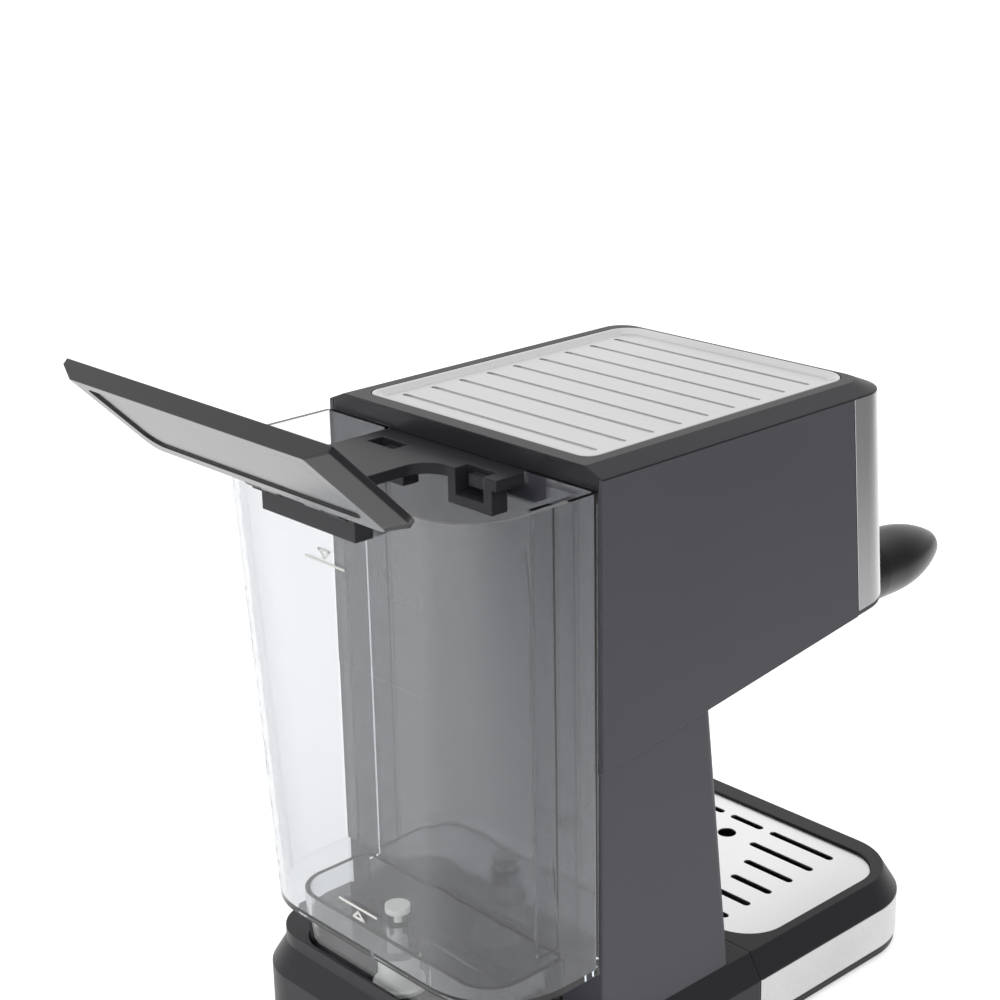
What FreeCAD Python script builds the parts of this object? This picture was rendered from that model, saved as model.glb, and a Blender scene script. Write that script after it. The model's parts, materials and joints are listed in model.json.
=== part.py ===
import FreeCAD, Part
import math
import operator
import os

import Sketcher

# Driving sizes in millimetres: name, value, what it is.
# The front faces -Y, the tank is at +Y, and Z is up from the table.
SIZES = (
    ("wall", 2.5, "moulded wall thickness"),
    ("seam_gap", 0.2, "gap at a seam between two fixed mouldings"),
    ("free_gap", 0.4, "gap between pieces that move apart"),
    ("foot_height", 2.5, "rubber foot below the base plate"),
    ("foot_radius", 9.0, "rubber foot"),
    ("plate_thick", 3.5, "base plate"),
    ("base_half", 97.0, "half width over the steel band"),
    ("base_front", -127.0, "front of the drip tray"),
    ("base_back", 170.0, "back of the base"),
    ("base_corner", 30.0, "back corner radius of the base"),
    ("tray_corner", 40.0, "front corner radius of the tray"),
    ("tray_seam", 7.0, "seam between tray and base"),
    ("rim_high", 41.0, "top of the tray rim and of the base"),
    ("bevel_low", 28.6, "lower edge of the bevel round tray and base"),
    ("bevel_wide", 7.6, "width of that bevel"),
    ("seat_high", 48.0, "top of the rim round the tank seat"),
    ("sheet", 1.1, "steel skin thickness"),
    ("grid_half", 84.0, "half width of the drip grid"),
    ("grid_front", -108.5, "front edge of the drip grid"),
    ("grid_back", 0.5, "back edge of the drip grid"),
    ("grid_corner", 22.0, "corner radius of the drip grid"),
    ("slot_width", 4.2, "slot in the drip grid"),
    ("slot_end", 58.6, "outer end of the slots"),
    ("slot_pitch", 16.6, "distance between slot rows"),
    ("slot_first", -95.0, "front slot row"),
    ("head_half", 90.0, "half width of the upper housing"),
    ("head_back", 108.0, "back of the housing"),
    ("head_top", 304.5, "top edge of the side panels"),
    ("head_low", 171.4, "lower edge of the side panel at the back"),
    ("head_rise", 0.131, "rise of that edge towards the front, per millimetre"),
    ("seam_top", -57.0, "front seam of the side panel at its top"),
    ("panel_depth", 32.0, "steel front panel from seam to front"),
    ("lean_depth", 10.0, "how far the front panel leans forward, top to bottom"),
    ("panel_corner", 22.0, "front corner radius of the panel"),
    ("panel_gap", 0.9, "shadow gap between the steel front and the side panels"),
    ("control_drop", 28.5, "buttons and knob below the top edge of the side panels"),
    ("cover_rise", 4.5, "top of the cover above that edge"),
    ("lip_drop", 5.5, "cover's lip below that edge"),
    ("cover_bevel", 10.5, "width of the cover's bevel"),
    ("dish_half", 73.5, "half width of the cup plate"),
    ("dish_back", 99.5, "back edge of the cup plate"),
    ("dish_front", -77.0, "front edge of the cup plate"),
    ("groove_first", 84.8, "back groove of the cup plate"),
    ("groove_pitch", 17.74, "distance between grooves"),
    ("groove_half", 63.4, "half length of a groove"),
    ("column_half", 89.0, "half width of the column"),
    ("column_low", 20.5, "front of the column at the base"),
    ("column_lean", 16.8, "how far the column's front falls back"),
    ("column_height", 144.0, "height over which it falls back"),
    ("column_corner", 5.0, "front corner radius of the column"),
    ("tank_half", 89.4, "half width of the tank at its rim"),
    ("tank_back", 182.0, "back of the tank at its rim"),
    ("tank_floor", 74.0, "underside of the tank's floor"),
    ("rim_drop", 4.5, "tank rim below the top edge of the side panels"),
    ("tank_taper", 8.0, "how much the back draws in down to the floor"),
    ("tank_corner", 30.0, "back corner radius at the rim"),
    ("tank_wall", 2.4, "tank wall"),
    ("skirt_half", 70.0, "half width of the tank's foot"),
    ("skirt_back", 160.0, "back of the tank's foot"),
    ("valve_x", 8.0, "valve, hoses and pump, off the middle"),
    ("valve_y", 144.0, "valve"),
    ("lid_free", 126.0, "free edge of the closed lid"),
    ("lid_back", 184.0, "hinge edge of the closed lid"),
    ("lid_thick", 8.4, "lid"),
    ("hinge_y", 196.3, "lid hinge axis"),
    ("hinge_rise", 0.9, "lid hinge axis above the tank rim"),
    ("knuckle", 4.5, "hinge knuckle radius"),
    ("lid_open", 135.0, "how far the lid stands open, degrees"),
    ("group_y", -36.0, "axis of the brew group"),
    ("collar_radius", 37.0, "group collar"),
    ("collar_rise", 0.6, "group collar above the lower edge of the head at the back"),
    ("handle_drop", 10.0, "handle axis below the collar"),
    ("handle_tip", -252.0, "end of the handle"),
    ("handle_radius", 19.0, "handle at its widest"),
    ("pump_y", 70.0, "axis of the pump"),
    ("boiler_radius", 36.0, "boiler"),
    ("boiler_rise", 36.0, "boiler above the collar"),
    ("knob_x", 44.0, "steam knob and valve"),
    ("button_pitch", 26.0, "distance between the buttons"),
    ("button_first", -48.0, "first button"),
    ("button_radius", 9.0, "push button"),
    ("button_travel", 2.0, "push button"),
    ("wand_y", -70.0, "steam wand and valve outlet"),
)

doc = FreeCAD.newDocument("EspressoMachine")
sheet = doc.addObject("Spreadsheet::Sheet", "Sizes")
for row, (alias, value, meaning) in enumerate(SIZES, start=1):
    sheet.set("A" + str(row), meaning)
    sheet.set("B" + str(row), str(value))
    sheet.setAlias("B" + str(row), alias)
doc.recompute()

SIGNS = {"+": operator.add, "-": operator.sub, "*": operator.mul, "/": operator.truediv}


# A size and the expression that gives it, so that arithmetic on sizes stays bound to the sheet.
class Dim:
    def __init__(self, text, value):
        self.text = text
        self.value = value

    def join(self, sign, other, swap=False):
        other = dim(other)
        left, right = (other, self) if swap else (self, other)
        return Dim("(" + left.text + sign + right.text + ")", SIGNS[sign](left.value, right.value))

    def __add__(self, other):
        return self.join("+", other)

    def __radd__(self, other):
        return self.join("+", other, True)

    def __sub__(self, other):
        return self.join("-", other)

    def __rsub__(self, other):
        return self.join("-", other, True)

    def __mul__(self, other):
        return self.join("*", other)

    def __rmul__(self, other):
        return self.join("*", other, True)

    def __truediv__(self, other):
        return self.join("/", other)

    def __neg__(self):
        return Dim("(0-" + self.text + ")", -self.value)


def dim(size):
    if isinstance(size, Dim):
        return size
    return Dim("(" + repr(float(size)) + ")", float(size))


# The named sizes of the sheet, as S.wall and so on.
class Names:
    pass


S = Names()
for alias, value, meaning in SIZES:
    setattr(S, alias, Dim("Sizes." + alias, value))


def bind(feature, prop, size):
    feature.setExpression(prop, dim(size).text)


def place(feature, x, y, z):
    for letter, size in zip("xyz", (x, y, z)):
        bind(feature, "Placement.Base." + letter, size)


X_AXIS = FreeCAD.Vector(1, 0, 0)
Y_AXIS = FreeCAD.Vector(0, 1, 0)
Z_AXIS = FreeCAD.Vector(0, 0, 1)
TURN_TO = {
    "Z": FreeCAD.Rotation(),
    "X": FreeCAD.Rotation(Y_AXIS, 90),
    "Y": FreeCAD.Rotation(X_AXIS, -90),
}
pieces = {}


def keep(label, feature):
    feature.Label = label
    pieces[label] = feature
    return feature


# Part primitives and booleans.
def box(low, high):
    solid = doc.addObject("Part::Box", "Block")
    for prop, start, end in zip(("Length", "Width", "Height"), low, high):
        bind(solid, prop, dim(end) - start)
    place(solid, *low)
    return solid


def rod(radius, length, start, axis="Z"):
    solid = doc.addObject("Part::Cylinder", "Rod")
    solid.Placement.Rotation = TURN_TO[axis]
    bind(solid, "Radius", radius)
    bind(solid, "Height", length)
    place(solid, *start)
    return solid


def ring(radius, thickness, centre):
    solid = doc.addObject("Part::Torus", "Ring")
    bind(solid, "Radius1", radius)
    bind(solid, "Radius2", thickness)
    place(solid, *centre)
    return solid


def ball(radius, centre):
    solid = doc.addObject("Part::Sphere", "Ball")
    bind(solid, "Radius", radius)
    place(solid, *centre)
    return solid


def fuse(*solids):
    union = doc.addObject("Part::MultiFuse", "Union")
    union.Shapes = list(solids)
    return union


def cut(base, *tools):
    result = doc.addObject("Part::Cut", "Cut")
    result.Base = base
    result.Tool = tools[0] if len(tools) == 1 else fuse(*tools)
    return result


def group(*solids):
    several = doc.addObject("Part::Compound", "Group")
    several.Links = list(solids)
    return several


def tube(outer, inner, length, start, axis="Z"):
    return cut(rod(outer, length, start, axis), rod(inner, length, start, axis))


# Bodies, sketches and their features.
def new_body():
    return doc.addObject("PartDesign::Body", "Body")


def new_sketch(body, plane, offset=0):
    sketch = body.newObject("Sketcher::SketchObject", "Sketch")
    support = [item for item in body.Origin.OriginFeatures if item.Role == plane][0]
    sketch.AttachmentSupport = [(support, "")]
    sketch.MapMode = "FlatFace"
    bind(sketch, "AttachmentOffset.Base.z", offset)
    return sketch


def flat(body, height=0):
    return new_sketch(body, "XY_Plane", height)


def side(body, x=0):
    return new_sketch(body, "YZ_Plane", x)


def front(body, y=0):
    return new_sketch(body, "XZ_Plane", -dim(y))


def pin_one(sketch, kind, edge, end, size):
    size = dim(size)
    axis = -2 if kind == "DistanceX" else -1
    if abs(size.value) < 1e-9:
        sketch.addConstraint(Sketcher.Constraint("PointOnObject", edge, end, axis))
        return
    ends = (-1, 1, edge, end) if size.value > 0 else (edge, end, -1, 1)
    size = size if size.value > 0 else -size
    index = sketch.addConstraint(Sketcher.Constraint(kind, *ends, size.value))
    sketch.setExpression("Constraints[%d]" % index, size.text)


def pin(sketch, edge, end, x, y):
    pin_one(sketch, "DistanceX", edge, end, x)
    pin_one(sketch, "DistanceY", edge, end, y)


def set_radius(sketch, arc, size):
    index = sketch.addConstraint(Sketcher.Constraint("Radius", arc, dim(size).value))
    sketch.setExpression("Constraints[%d]" % index, dim(size).text)


def point(x, y):
    return FreeCAD.Vector(dim(x).value, dim(y).value, 0)


def polygon(sketch, corners):
    first = sketch.GeometryCount
    count = len(corners)
    for i, corner in enumerate(corners):
        following = corners[(i + 1) % count]
        sketch.addGeometry(Part.LineSegment(point(*corner), point(*following)))
    for i, corner in enumerate(corners):
        sketch.addConstraint(Sketcher.Constraint("Coincident", first + i, 2, first + (i + 1) % count, 1))
        pin(sketch, first + i, 1, *corner)


def circle(sketch, x, y, radius):
    edge = sketch.addGeometry(Part.Circle(point(x, y), Z_AXIS, dim(radius).value))
    pin(sketch, edge, 3, x, y)
    set_radius(sketch, edge, radius)


# A rectangle with its own radius at each corner: low left, low right, high right, high left.
def rounded(sketch, left, right, low, high, radii):
    left, right, low, high = dim(left), dim(right), dim(low), dim(high)
    radii = [dim(radius) for radius in radii]
    centres = (
        (left + radii[0], low + radii[0]),
        (right - radii[1], low + radii[1]),
        (right - radii[2], high - radii[2]),
        (left + radii[3], high - radii[3]),
    )
    starts = (math.pi, 1.5 * math.pi, 0.0, 0.5 * math.pi)
    arcs = []
    for centre, radius, angle in zip(centres, radii, starts):
        round_edge = Part.Circle(point(*centre), Z_AXIS, radius.value)
        arc = Part.ArcOfCircle(round_edge, angle, angle + 0.5 * math.pi)
        arcs.append(sketch.addGeometry(arc))
    lines = []
    for i in range(4):
        begin = sketch.Geometry[arcs[i]].EndPoint
        end = sketch.Geometry[arcs[(i + 1) % 4]].StartPoint
        lines.append(sketch.addGeometry(Part.LineSegment(begin, end)))
    for i in range(4):
        sketch.addConstraint(Sketcher.Constraint("Tangent", arcs[i], 2, lines[i], 1))
        sketch.addConstraint(Sketcher.Constraint("Tangent", lines[i], 2, arcs[(i + 1) % 4], 1))
        sketch.addConstraint(Sketcher.Constraint("Vertical" if i % 2 else "Horizontal", lines[i]))
        set_radius(sketch, arcs[i], radii[i])
    pin_one(sketch, "DistanceY", lines[0], 1, low)
    pin_one(sketch, "DistanceX", lines[1], 1, right)
    pin_one(sketch, "DistanceY", lines[2], 1, high)
    pin_one(sketch, "DistanceX", lines[3], 1, left)


# A slot along the sketch's first direction.
def slot(sketch, start, end, height, width):
    half = dim(width) / 2
    centres = (dim(start) + half, dim(end) - half)
    arcs = []
    for centre, angle in zip(centres, (0.5 * math.pi, 1.5 * math.pi)):
        round_edge = Part.Circle(point(centre, height), Z_AXIS, half.value)
        arcs.append(sketch.addGeometry(Part.ArcOfCircle(round_edge, angle, angle + math.pi)))
    lines = []
    for i in range(2):
        begin = sketch.Geometry[arcs[i]].EndPoint
        finish = sketch.Geometry[arcs[1 - i]].StartPoint
        lines.append(sketch.addGeometry(Part.LineSegment(begin, finish)))
    for i in range(2):
        sketch.addConstraint(Sketcher.Constraint("Tangent", arcs[i], 2, lines[i], 1))
        sketch.addConstraint(Sketcher.Constraint("Tangent", lines[i], 2, arcs[1 - i], 1))
    sketch.addConstraint(Sketcher.Constraint("Horizontal", lines[0]))
    sketch.addConstraint(Sketcher.Constraint("Equal", arcs[0], arcs[1]))
    set_radius(sketch, arcs[0], half)
    pin(sketch, arcs[0], 3, centres[0], height)
    pin_one(sketch, "DistanceX", arcs[1], 3, centres[1])


def extrude(kind, body, sketch, length, reverse=False, centred=False, along=None):
    feature = body.newObject("PartDesign::" + kind, kind)
    feature.Profile = sketch
    bind(feature, "Length", length)
    feature.Reversed = reverse
    if centred:
        feature.SideType = "Symmetric"
    if along:
        feature.UseCustomVector = True
        feature.AlongSketchNormal = True
        for letter, size in zip("xyz", along):
            bind(feature, "Direction." + letter, size)
    return feature


def pad(body, sketch, length, **how):
    return extrude("Pad", body, sketch, length, **how)


def pocket(body, sketch, length, **how):
    return extrude("Pocket", body, sketch, length, **how)


def loft(kind, body, low, high):
    feature = body.newObject("PartDesign::" + kind, kind)
    feature.Profile = low
    feature.Sections = [high]
    feature.Ruled = True
    return feature


def revolve(body, sketch, axis="V_Axis", kind="Revolution"):
    feature = body.newObject("PartDesign::" + kind, kind)
    feature.Profile = sketch
    feature.ReferenceAxis = (sketch, [axis])
    feature.Angle = 360
    return feature


def pipe(body, path, profile):
    feature = body.newObject("PartDesign::AdditivePipe", "Pipe")
    feature.Profile = profile
    feature.Spine = path
    return feature


# Rounds the edges of the body's last feature that the test picks.
def soften(body, test, radius, kind="Fillet"):
    doc.recompute()
    base = body.Tip
    names = []
    for number, edge in enumerate(base.Shape.Edges, start=1):
        if test(edge.BoundBox):
            names.append("Edge" + str(number))
    feature = body.newObject("PartDesign::" + kind, kind)
    feature.Base = (base, names)
    bind(feature, "Radius" if kind == "Fillet" else "Size", radius)
    return feature


# Heights that follow the top and the lower edge of the head.
cover_top = S.head_top + S.cover_rise
cover_low = S.head_top - S.lip_drop
tank_rim = S.head_top - S.rim_drop
hinge_z = tank_rim + S.hinge_rise
control_z = S.head_top - S.control_drop
collar_low = S.head_low + S.collar_rise
handle_z = collar_low - S.handle_drop
boiler_low = collar_low + S.boiler_rise


# Height of the sloping lower edge of the head at a place along Y.
def head_edge(y):
    return S.head_low + (S.head_back - y) * S.head_rise


# Lower end of the seam between side panel and front panel, and the height over which it leans.
low_seam = S.seam_top - S.lean_depth
lean_height = S.head_top - head_edge(low_seam)


# Depth of the leaning front panel's outer face at a height.
def panel_face(z):
    return S.seam_top - S.panel_depth - (S.head_top - z) * S.lean_depth / lean_height


plate_top = S.foot_height + S.plate_thick
floor_low = S.rim_high - S.wall
screw_spots = [(-78, 22), (78, 22), (-52, 150), (52, 150)]
foot_spots = [(-76, -98), (76, -98), (-76, 140), (76, 140)]


def make_base_plate():
    body = new_body()
    inset = 0.5
    outline = flat(body, S.foot_height)
    half = S.base_half - inset
    corners = (S.tray_corner, S.tray_corner, S.base_corner, S.base_corner)
    rounded(outline, -half, half, S.base_front + inset, S.base_back - inset, corners)
    pad(body, outline, S.plate_thick)
    holes = flat(body, S.foot_height)
    for x, y in foot_spots:
        circle(holes, x, y, 3.0)
    for x, y in screw_spots:
        circle(holes, x, y, 1.8)
    pocket(body, holes, S.plate_thick, reverse=True)
    keep("base_plate", body)


def make_feet():
    feet = []
    for x, y in foot_spots:
        pad_part = rod(S.foot_radius, S.foot_height, (x, y, 0))
        plug = rod(2.9, S.plate_thick, (x, y, S.foot_height))
        feet.append(fuse(pad_part, plug))
    keep("rubber_feet", group(*feet))


def make_base_shell():
    body = new_body()
    start = S.tray_seam + S.seam_gap
    square = 1.0
    low = flat(body, plate_top)
    corners = (square, square, S.base_corner, S.base_corner)
    rounded(low, -S.base_half, S.base_half, start, S.base_back, corners)
    pad(body, low, S.bevel_low - plate_top)
    bevel_start = flat(body, S.bevel_low)
    rounded(bevel_start, -S.base_half, S.base_half, start, S.base_back, corners)
    bevel_end = flat(body, S.rim_high)
    half = S.base_half - S.bevel_wide
    radius = S.base_corner - S.bevel_wide
    rounded(bevel_end, -half, half, start, S.base_back - S.bevel_wide, (square, square, radius, radius))
    loft("AdditiveLoft", body, bevel_start, bevel_end)
    seat = flat(body, S.rim_high)
    seat_start = S.head_back + S.free_gap
    rounded(seat, -half, half, seat_start, S.base_back - S.bevel_wide, (square, square, radius, radius))
    pad(body, seat, S.seat_high - S.rim_high)
    # The recess that takes the tank's foot.
    recess = flat(body, S.seat_high)
    play = 0.8
    rounded(
        recess,
        -S.skirt_half - play,
        S.skirt_half + play,
        seat_start + S.wall,
        S.skirt_back + play,
        (6, 6, 18.8, 18.8),
    )
    pocket(body, recess, S.seat_high - S.rim_high)
    # Hollow from below, narrower behind the bevel.
    hollow = flat(body, plate_top)
    inner = S.base_half - S.wall
    inner_corner = S.base_corner - S.wall
    corners = (square, square, inner_corner, inner_corner)
    rounded(hollow, -inner, inner, start + S.wall, S.base_back - S.wall, corners)
    pocket(body, hollow, S.bevel_low - plate_top - S.wall, reverse=True)
    upper = flat(body, S.bevel_low - S.wall)
    inner = half - S.wall
    inner_corner = radius - S.wall
    corners = (square, square, inner_corner, inner_corner)
    rounded(upper, -inner, inner, start + S.wall, S.base_back - S.bevel_wide - S.wall, corners)
    pocket(body, upper, floor_low - S.bevel_low + S.wall, reverse=True)
    # Openings for the column, the valve socket and the cord.
    openings = flat(body, S.rim_high)
    margin = 8
    half = S.column_half - margin
    rounded(openings, -half, half, S.column_low + margin, S.head_back - margin, (4, 4, 4, 4))
    circle(openings, S.valve_x, S.valve_y, 10.8)
    pocket(body, openings, S.wall)
    cord_hole = front(body, S.base_back)
    circle(cord_hole, cord_x, cord_z, 6.2)
    pocket(body, cord_hole, S.wall * 4, reverse=True)
    # Screw posts.
    posts = flat(body, plate_top)
    for x, y in screw_spots:
        circle(posts, x, y, 4.5)
    pad(body, posts, floor_low - plate_top + 0.5)
    bores = flat(body, plate_top)
    for x, y in screw_spots:
        circle(bores, x, y, 1.6)
    pocket(body, bores, 16, reverse=True)
    keep("base_shell", body)


cord_x = -55
cord_z = 17


def make_cord_gland():
    inside = S.base_back - S.wall
    collar = rod(8.5, 2.0, (cord_x, S.base_back, cord_z), "Y")
    neck = rod(6.0, S.wall, (cord_x, inside, cord_z), "Y")
    nut = rod(8.0, 4.0, (cord_x, inside - 4, cord_z), "Y")
    bore = rod(3.6, 12.0, (cord_x, inside - 5, cord_z), "Y")
    keep("cord_gland", cut(fuse(collar, neck, nut), bore))


def make_base_screws():
    screws = []
    for x, y in screw_spots:
        head = rod(3.2, 1.6, (x, y, S.foot_height - 1.6))
        shank = rod(1.5, 15.0, (x, y, S.foot_height))
        screws.append(fuse(head, shank))
    keep("base_screws", group(*screws))


def column_section(body, height, inset):
    sketch = flat(body, S.rim_high + height)
    half = S.column_half - inset
    low = S.column_low + height * S.column_lean / S.column_height + inset
    radius = S.column_corner - inset
    rounded(sketch, -half, half, low, S.head_back - inset, (radius, radius, 1.0, 1.0))
    return sketch


def make_column():
    body = new_body()
    loft("AdditiveLoft", body, column_section(body, 0, 0), column_section(body, S.column_height, 0))
    inner = [column_section(body, height, S.wall) for height in (0, S.column_height)]
    loft("SubtractiveLoft", body, *inner)
    # The top follows the sloping lower edge of the head.
    trim = side(body)
    far = 20
    front_y = S.column_low - far
    back_y = S.head_back + far
    polygon(
        trim,
        [
            (front_y, head_edge(front_y) - S.seam_gap),
            (back_y, head_edge(back_y) - S.seam_gap),
            (back_y, S.head_top),
            (front_y, S.head_top),
        ],
    )
    pocket(body, trim, S.column_half * 3, centred=True)
    keep("column_shell", body)


# Plan outline behind the leaning front panel, drawn at the top edge of the head.
def panel_outline(sketch, inset, back):
    half = S.head_half - inset
    radius = S.panel_corner - inset
    front_y = S.seam_top - S.panel_depth + inset
    rounded(sketch, -half, half, front_y, back, (radius, radius, 0.5, 0.5))


lean = (0, -S.lean_depth, -lean_height)


# Takes away everything under the head's sloping edge, raised by a height.
def trim_under(body, height):
    trim = side(body)
    ahead = -130
    behind = 130
    low = S.head_low - 20
    polygon(
        trim,
        [
            (ahead, head_edge(ahead) + height),
            (ahead, low),
            (behind, low),
            (behind, head_edge(behind) + height),
        ],
    )
    pocket(body, trim, S.head_half * 3, centred=True)


boss_radius = S.collar_radius + 8
flange_thick = 5.0
flange_low = boiler_low - flange_thick


def make_upper_housing():
    body = new_body()
    # The floor runs forward under the front panel.
    tongue = flat(body, S.head_top)
    panel_outline(tongue, 0.4, S.seam_top + 30)
    pad(body, tongue, lean_height + 12, along=lean)
    over = side(body)
    ahead = -130
    behind = 130
    polygon(
        over,
        [
            (ahead, head_edge(ahead) + S.wall),
            (behind, head_edge(behind) + S.wall),
            (behind, S.head_top + 10),
            (ahead, S.head_top + 10),
        ],
    )
    pocket(body, over, S.head_half * 3, centred=True)
    # Both side panels and the back.
    profile = side(body)
    polygon(
        profile,
        [
            (S.head_back, S.head_low),
            (S.head_back, S.head_top),
            (S.seam_top, S.head_top),
            (low_seam, head_edge(low_seam)),
        ],
    )
    pad(body, profile, S.head_half * 2, centred=True)
    trim_under(body, 0)
    room = side(body)
    inside_back = S.head_back - S.wall
    floor_end = S.column_low + 22
    polygon(
        room,
        [
            (inside_back, S.head_low - 20),
            (inside_back, S.head_top + 10),
            (ahead, S.head_top + 10),
            (ahead, head_edge(ahead) + S.wall),
            (floor_end, head_edge(floor_end) + S.wall),
            (floor_end, S.head_low - 20),
        ],
    )
    pocket(body, room, (S.head_half - S.wall) * 2, centred=True)
    # The back wall ends below the cover's back band.
    band = side(body)
    polygon(
        band,
        [
            (inside_back - 1, cover_low - S.seam_gap),
            (S.head_back + 1, cover_low - S.seam_gap),
            (S.head_back + 1, S.head_top + 1),
            (inside_back - 1, S.head_top + 1),
        ],
    )
    pocket(body, band, (S.head_half - S.wall) * 2, centred=True)
    # Posts that carry the brew group.
    for spots in (boss_spots[:2], boss_spots[2:]):
        posts = flat(body, flange_low)
        for x, y in spots:
            circle(posts, x, y, 5.0)
        pad(body, posts, flange_low - head_edge(spots[0][1]) - S.wall / 2, reverse=True)
    bores = flat(body, flange_low)
    for x, y in boss_spots:
        circle(bores, x, y, 1.6)
    pocket(body, bores, 9)
    # Openings in the floor for the group collar and the steam wand.
    openings = flat(body, flange_low)
    circle(openings, 0, S.group_y, S.collar_radius + 0.6)
    circle(openings, S.knob_x, S.wand_y, 7.0)
    pocket(body, openings, 40)
    keep("upper_housing", body)


boss_spots = [(-boss_radius, S.group_y), (boss_radius, S.group_y), (0, S.group_y + boss_radius)]
button_spots = [S.button_first + S.button_pitch * i for i in range(3)]
frame_wall = 2.2


# Round openings along Y through the leaning front, for the buttons, the lenses and the steam stem.
def panel_openings(body, play):
    sketch = front(body, -60)
    for x in button_spots:
        circle(sketch, x, control_z, S.button_radius + play)
        circle(sketch, x, control_z + 16, 2.0 + play / 2)
    circle(sketch, S.knob_x, control_z, 4.0 + play)
    pocket(body, sketch, 60, reverse=True)


def make_front_frame():
    body = new_body()
    outer = flat(body, S.head_top)
    skin = S.sheet + 0.1
    panel_outline(outer, skin, S.seam_top)
    pad(body, outer, lean_height + 12, along=lean)
    inner = flat(body, S.head_top)
    panel_outline(inner, skin + frame_wall, S.seam_top + 20)
    pocket(body, inner, lean_height + 12, along=lean)
    trim_under(body, S.wall + 0.1)
    panel_openings(body, 0.6)
    keep("front_frame", body)


def make_front_panel():
    body = new_body()
    outer = flat(body, S.head_top)
    panel_outline(outer, 0, S.seam_top - S.panel_gap)
    pad(body, outer, lean_height + 12, along=lean)
    inner = flat(body, S.head_top)
    panel_outline(inner, S.sheet, S.seam_top + 20)
    pocket(body, inner, lean_height + 12, along=lean)
    trim_under(body, S.wall + 0.1)
    panel_openings(body, 0.6)
    keep("front_panel", body)


def make_top_cover():
    body = new_body()
    square = 0.6
    edge = flat(body, S.head_top + S.seam_gap)
    front_y = S.seam_top - S.panel_depth
    corners = (S.panel_corner, S.panel_corner, square, square)
    rounded(edge, -S.head_half, S.head_half, front_y, S.head_back, corners)
    flat_top = flat(body, cover_top)
    half = S.head_half - S.cover_bevel
    radius = S.panel_corner - S.cover_bevel
    rounded(flat_top, -half, half, front_y + S.cover_bevel, S.head_back, (radius, radius, square, square))
    loft("AdditiveLoft", body, edge, flat_top)
    # The lip that locates it inside the walls, and its back band.
    lip = flat(body, cover_low)
    inset = 5.0
    half = S.head_half - inset
    radius = S.panel_corner - inset
    rounded(lip, -half, half, front_y + inset, S.head_back, (radius, radius, square, square))
    pad(body, lip, S.head_top - cover_low + 1)
    band = flat(body, cover_low)
    half = S.head_half - S.wall - S.seam_gap
    rounded(band, -half, half, S.head_back - S.wall, S.head_back, (square,) * 4)
    pad(body, band, S.head_top - cover_low + 1)
    hollow = flat(body, cover_low)
    inset = 7.0
    half = S.head_half - inset
    radius = S.panel_corner - inset
    rounded(hollow, -half, half, front_y + inset, S.head_back - S.wall, (radius, radius, 2, 2))
    pocket(body, hollow, dish_low - S.wall - cover_low, reverse=True)
    recess = flat(body, cover_top)
    dish_outline(recess, -0.3)
    pocket(body, recess, cover_top - dish_low)
    keep("top_cover", body)


dish_low = cover_top - 3.6
dish_thick = 1.6


def dish_outline(sketch, inset):
    half = S.dish_half - inset
    rounded(
        sketch,
        -half,
        half,
        S.dish_front + inset,
        S.dish_back - inset,
        (14.0 - inset, 14.0 - inset, 7.0 - inset, 7.0 - inset),
    )


def make_cup_plate():
    body = new_body()
    outline = flat(body, dish_low)
    dish_outline(outline, 0)
    pad(body, outline, cover_top - dish_low + 0.2)
    # Its wall slopes in from the rolled rim to the floor.
    floor = flat(body, dish_low + dish_thick)
    dish_outline(floor, 5.0)
    mouth = flat(body, cover_top + 0.2)
    dish_outline(mouth, 2.0)
    loft("SubtractiveLoft", body, floor, mouth)
    top = cover_top + 0.2
    soften(body, lambda b: b.ZLength < 0.01 and abs(b.ZMin - top.value) < 0.01, 0.8)
    grooves = flat(body, dish_low + dish_thick)
    for i in range(9):
        slot(grooves, -S.groove_half, S.groove_half, S.groove_first - S.groove_pitch * i, 2.8)
    pocket(body, grooves, 1.0)
    keep("cup_plate", body)


def tray_outline(sketch, inset, back_inset=0):
    half = S.base_half - inset
    radius = S.tray_corner - inset
    back = S.tray_seam - S.seam_gap - back_inset
    rounded(sketch, -half, half, S.base_front + inset, back, (radius, radius, 1.0, 1.0))


def make_drip_tray():
    body = new_body()
    bottom = plate_top + S.free_gap
    skin = S.sheet + 0.1
    low = flat(body, bottom)
    tray_outline(low, skin)
    pad(body, low, S.bevel_low - bottom)
    bevel_start = flat(body, S.bevel_low)
    tray_outline(bevel_start, 0)
    bevel_end = flat(body, S.rim_high)
    tray_outline(bevel_end, S.bevel_wide)
    loft("AdditiveLoft", body, bevel_start, bevel_end)
    ledge = flat(body, S.rim_high)
    grid_outline(ledge, -S.free_gap)
    pocket(body, ledge, S.rim_high - grid_low + S.free_gap)
    basin = flat(body, grid_low)
    grid_outline(basin, 3.0)
    pocket(body, basin, grid_low - bottom - 2.4)
    # Hollow between the basin and the skirt.
    under = flat(body, bottom)
    tray_outline(under, skin + 2.2, 2.2)
    grid_outline(under, 0.6)
    pocket(body, under, S.bevel_low - bottom - 2.4, reverse=True)
    keep("drip_tray", body)


grid_thick = 1.2
grid_low = S.rim_high - 1.4 - grid_thick


def grid_outline(sketch, inset):
    half = S.grid_half - inset
    radius = S.grid_corner - inset
    rounded(sketch, -half, half, S.grid_front + inset, S.grid_back - inset, (radius,) * 4)


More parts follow.
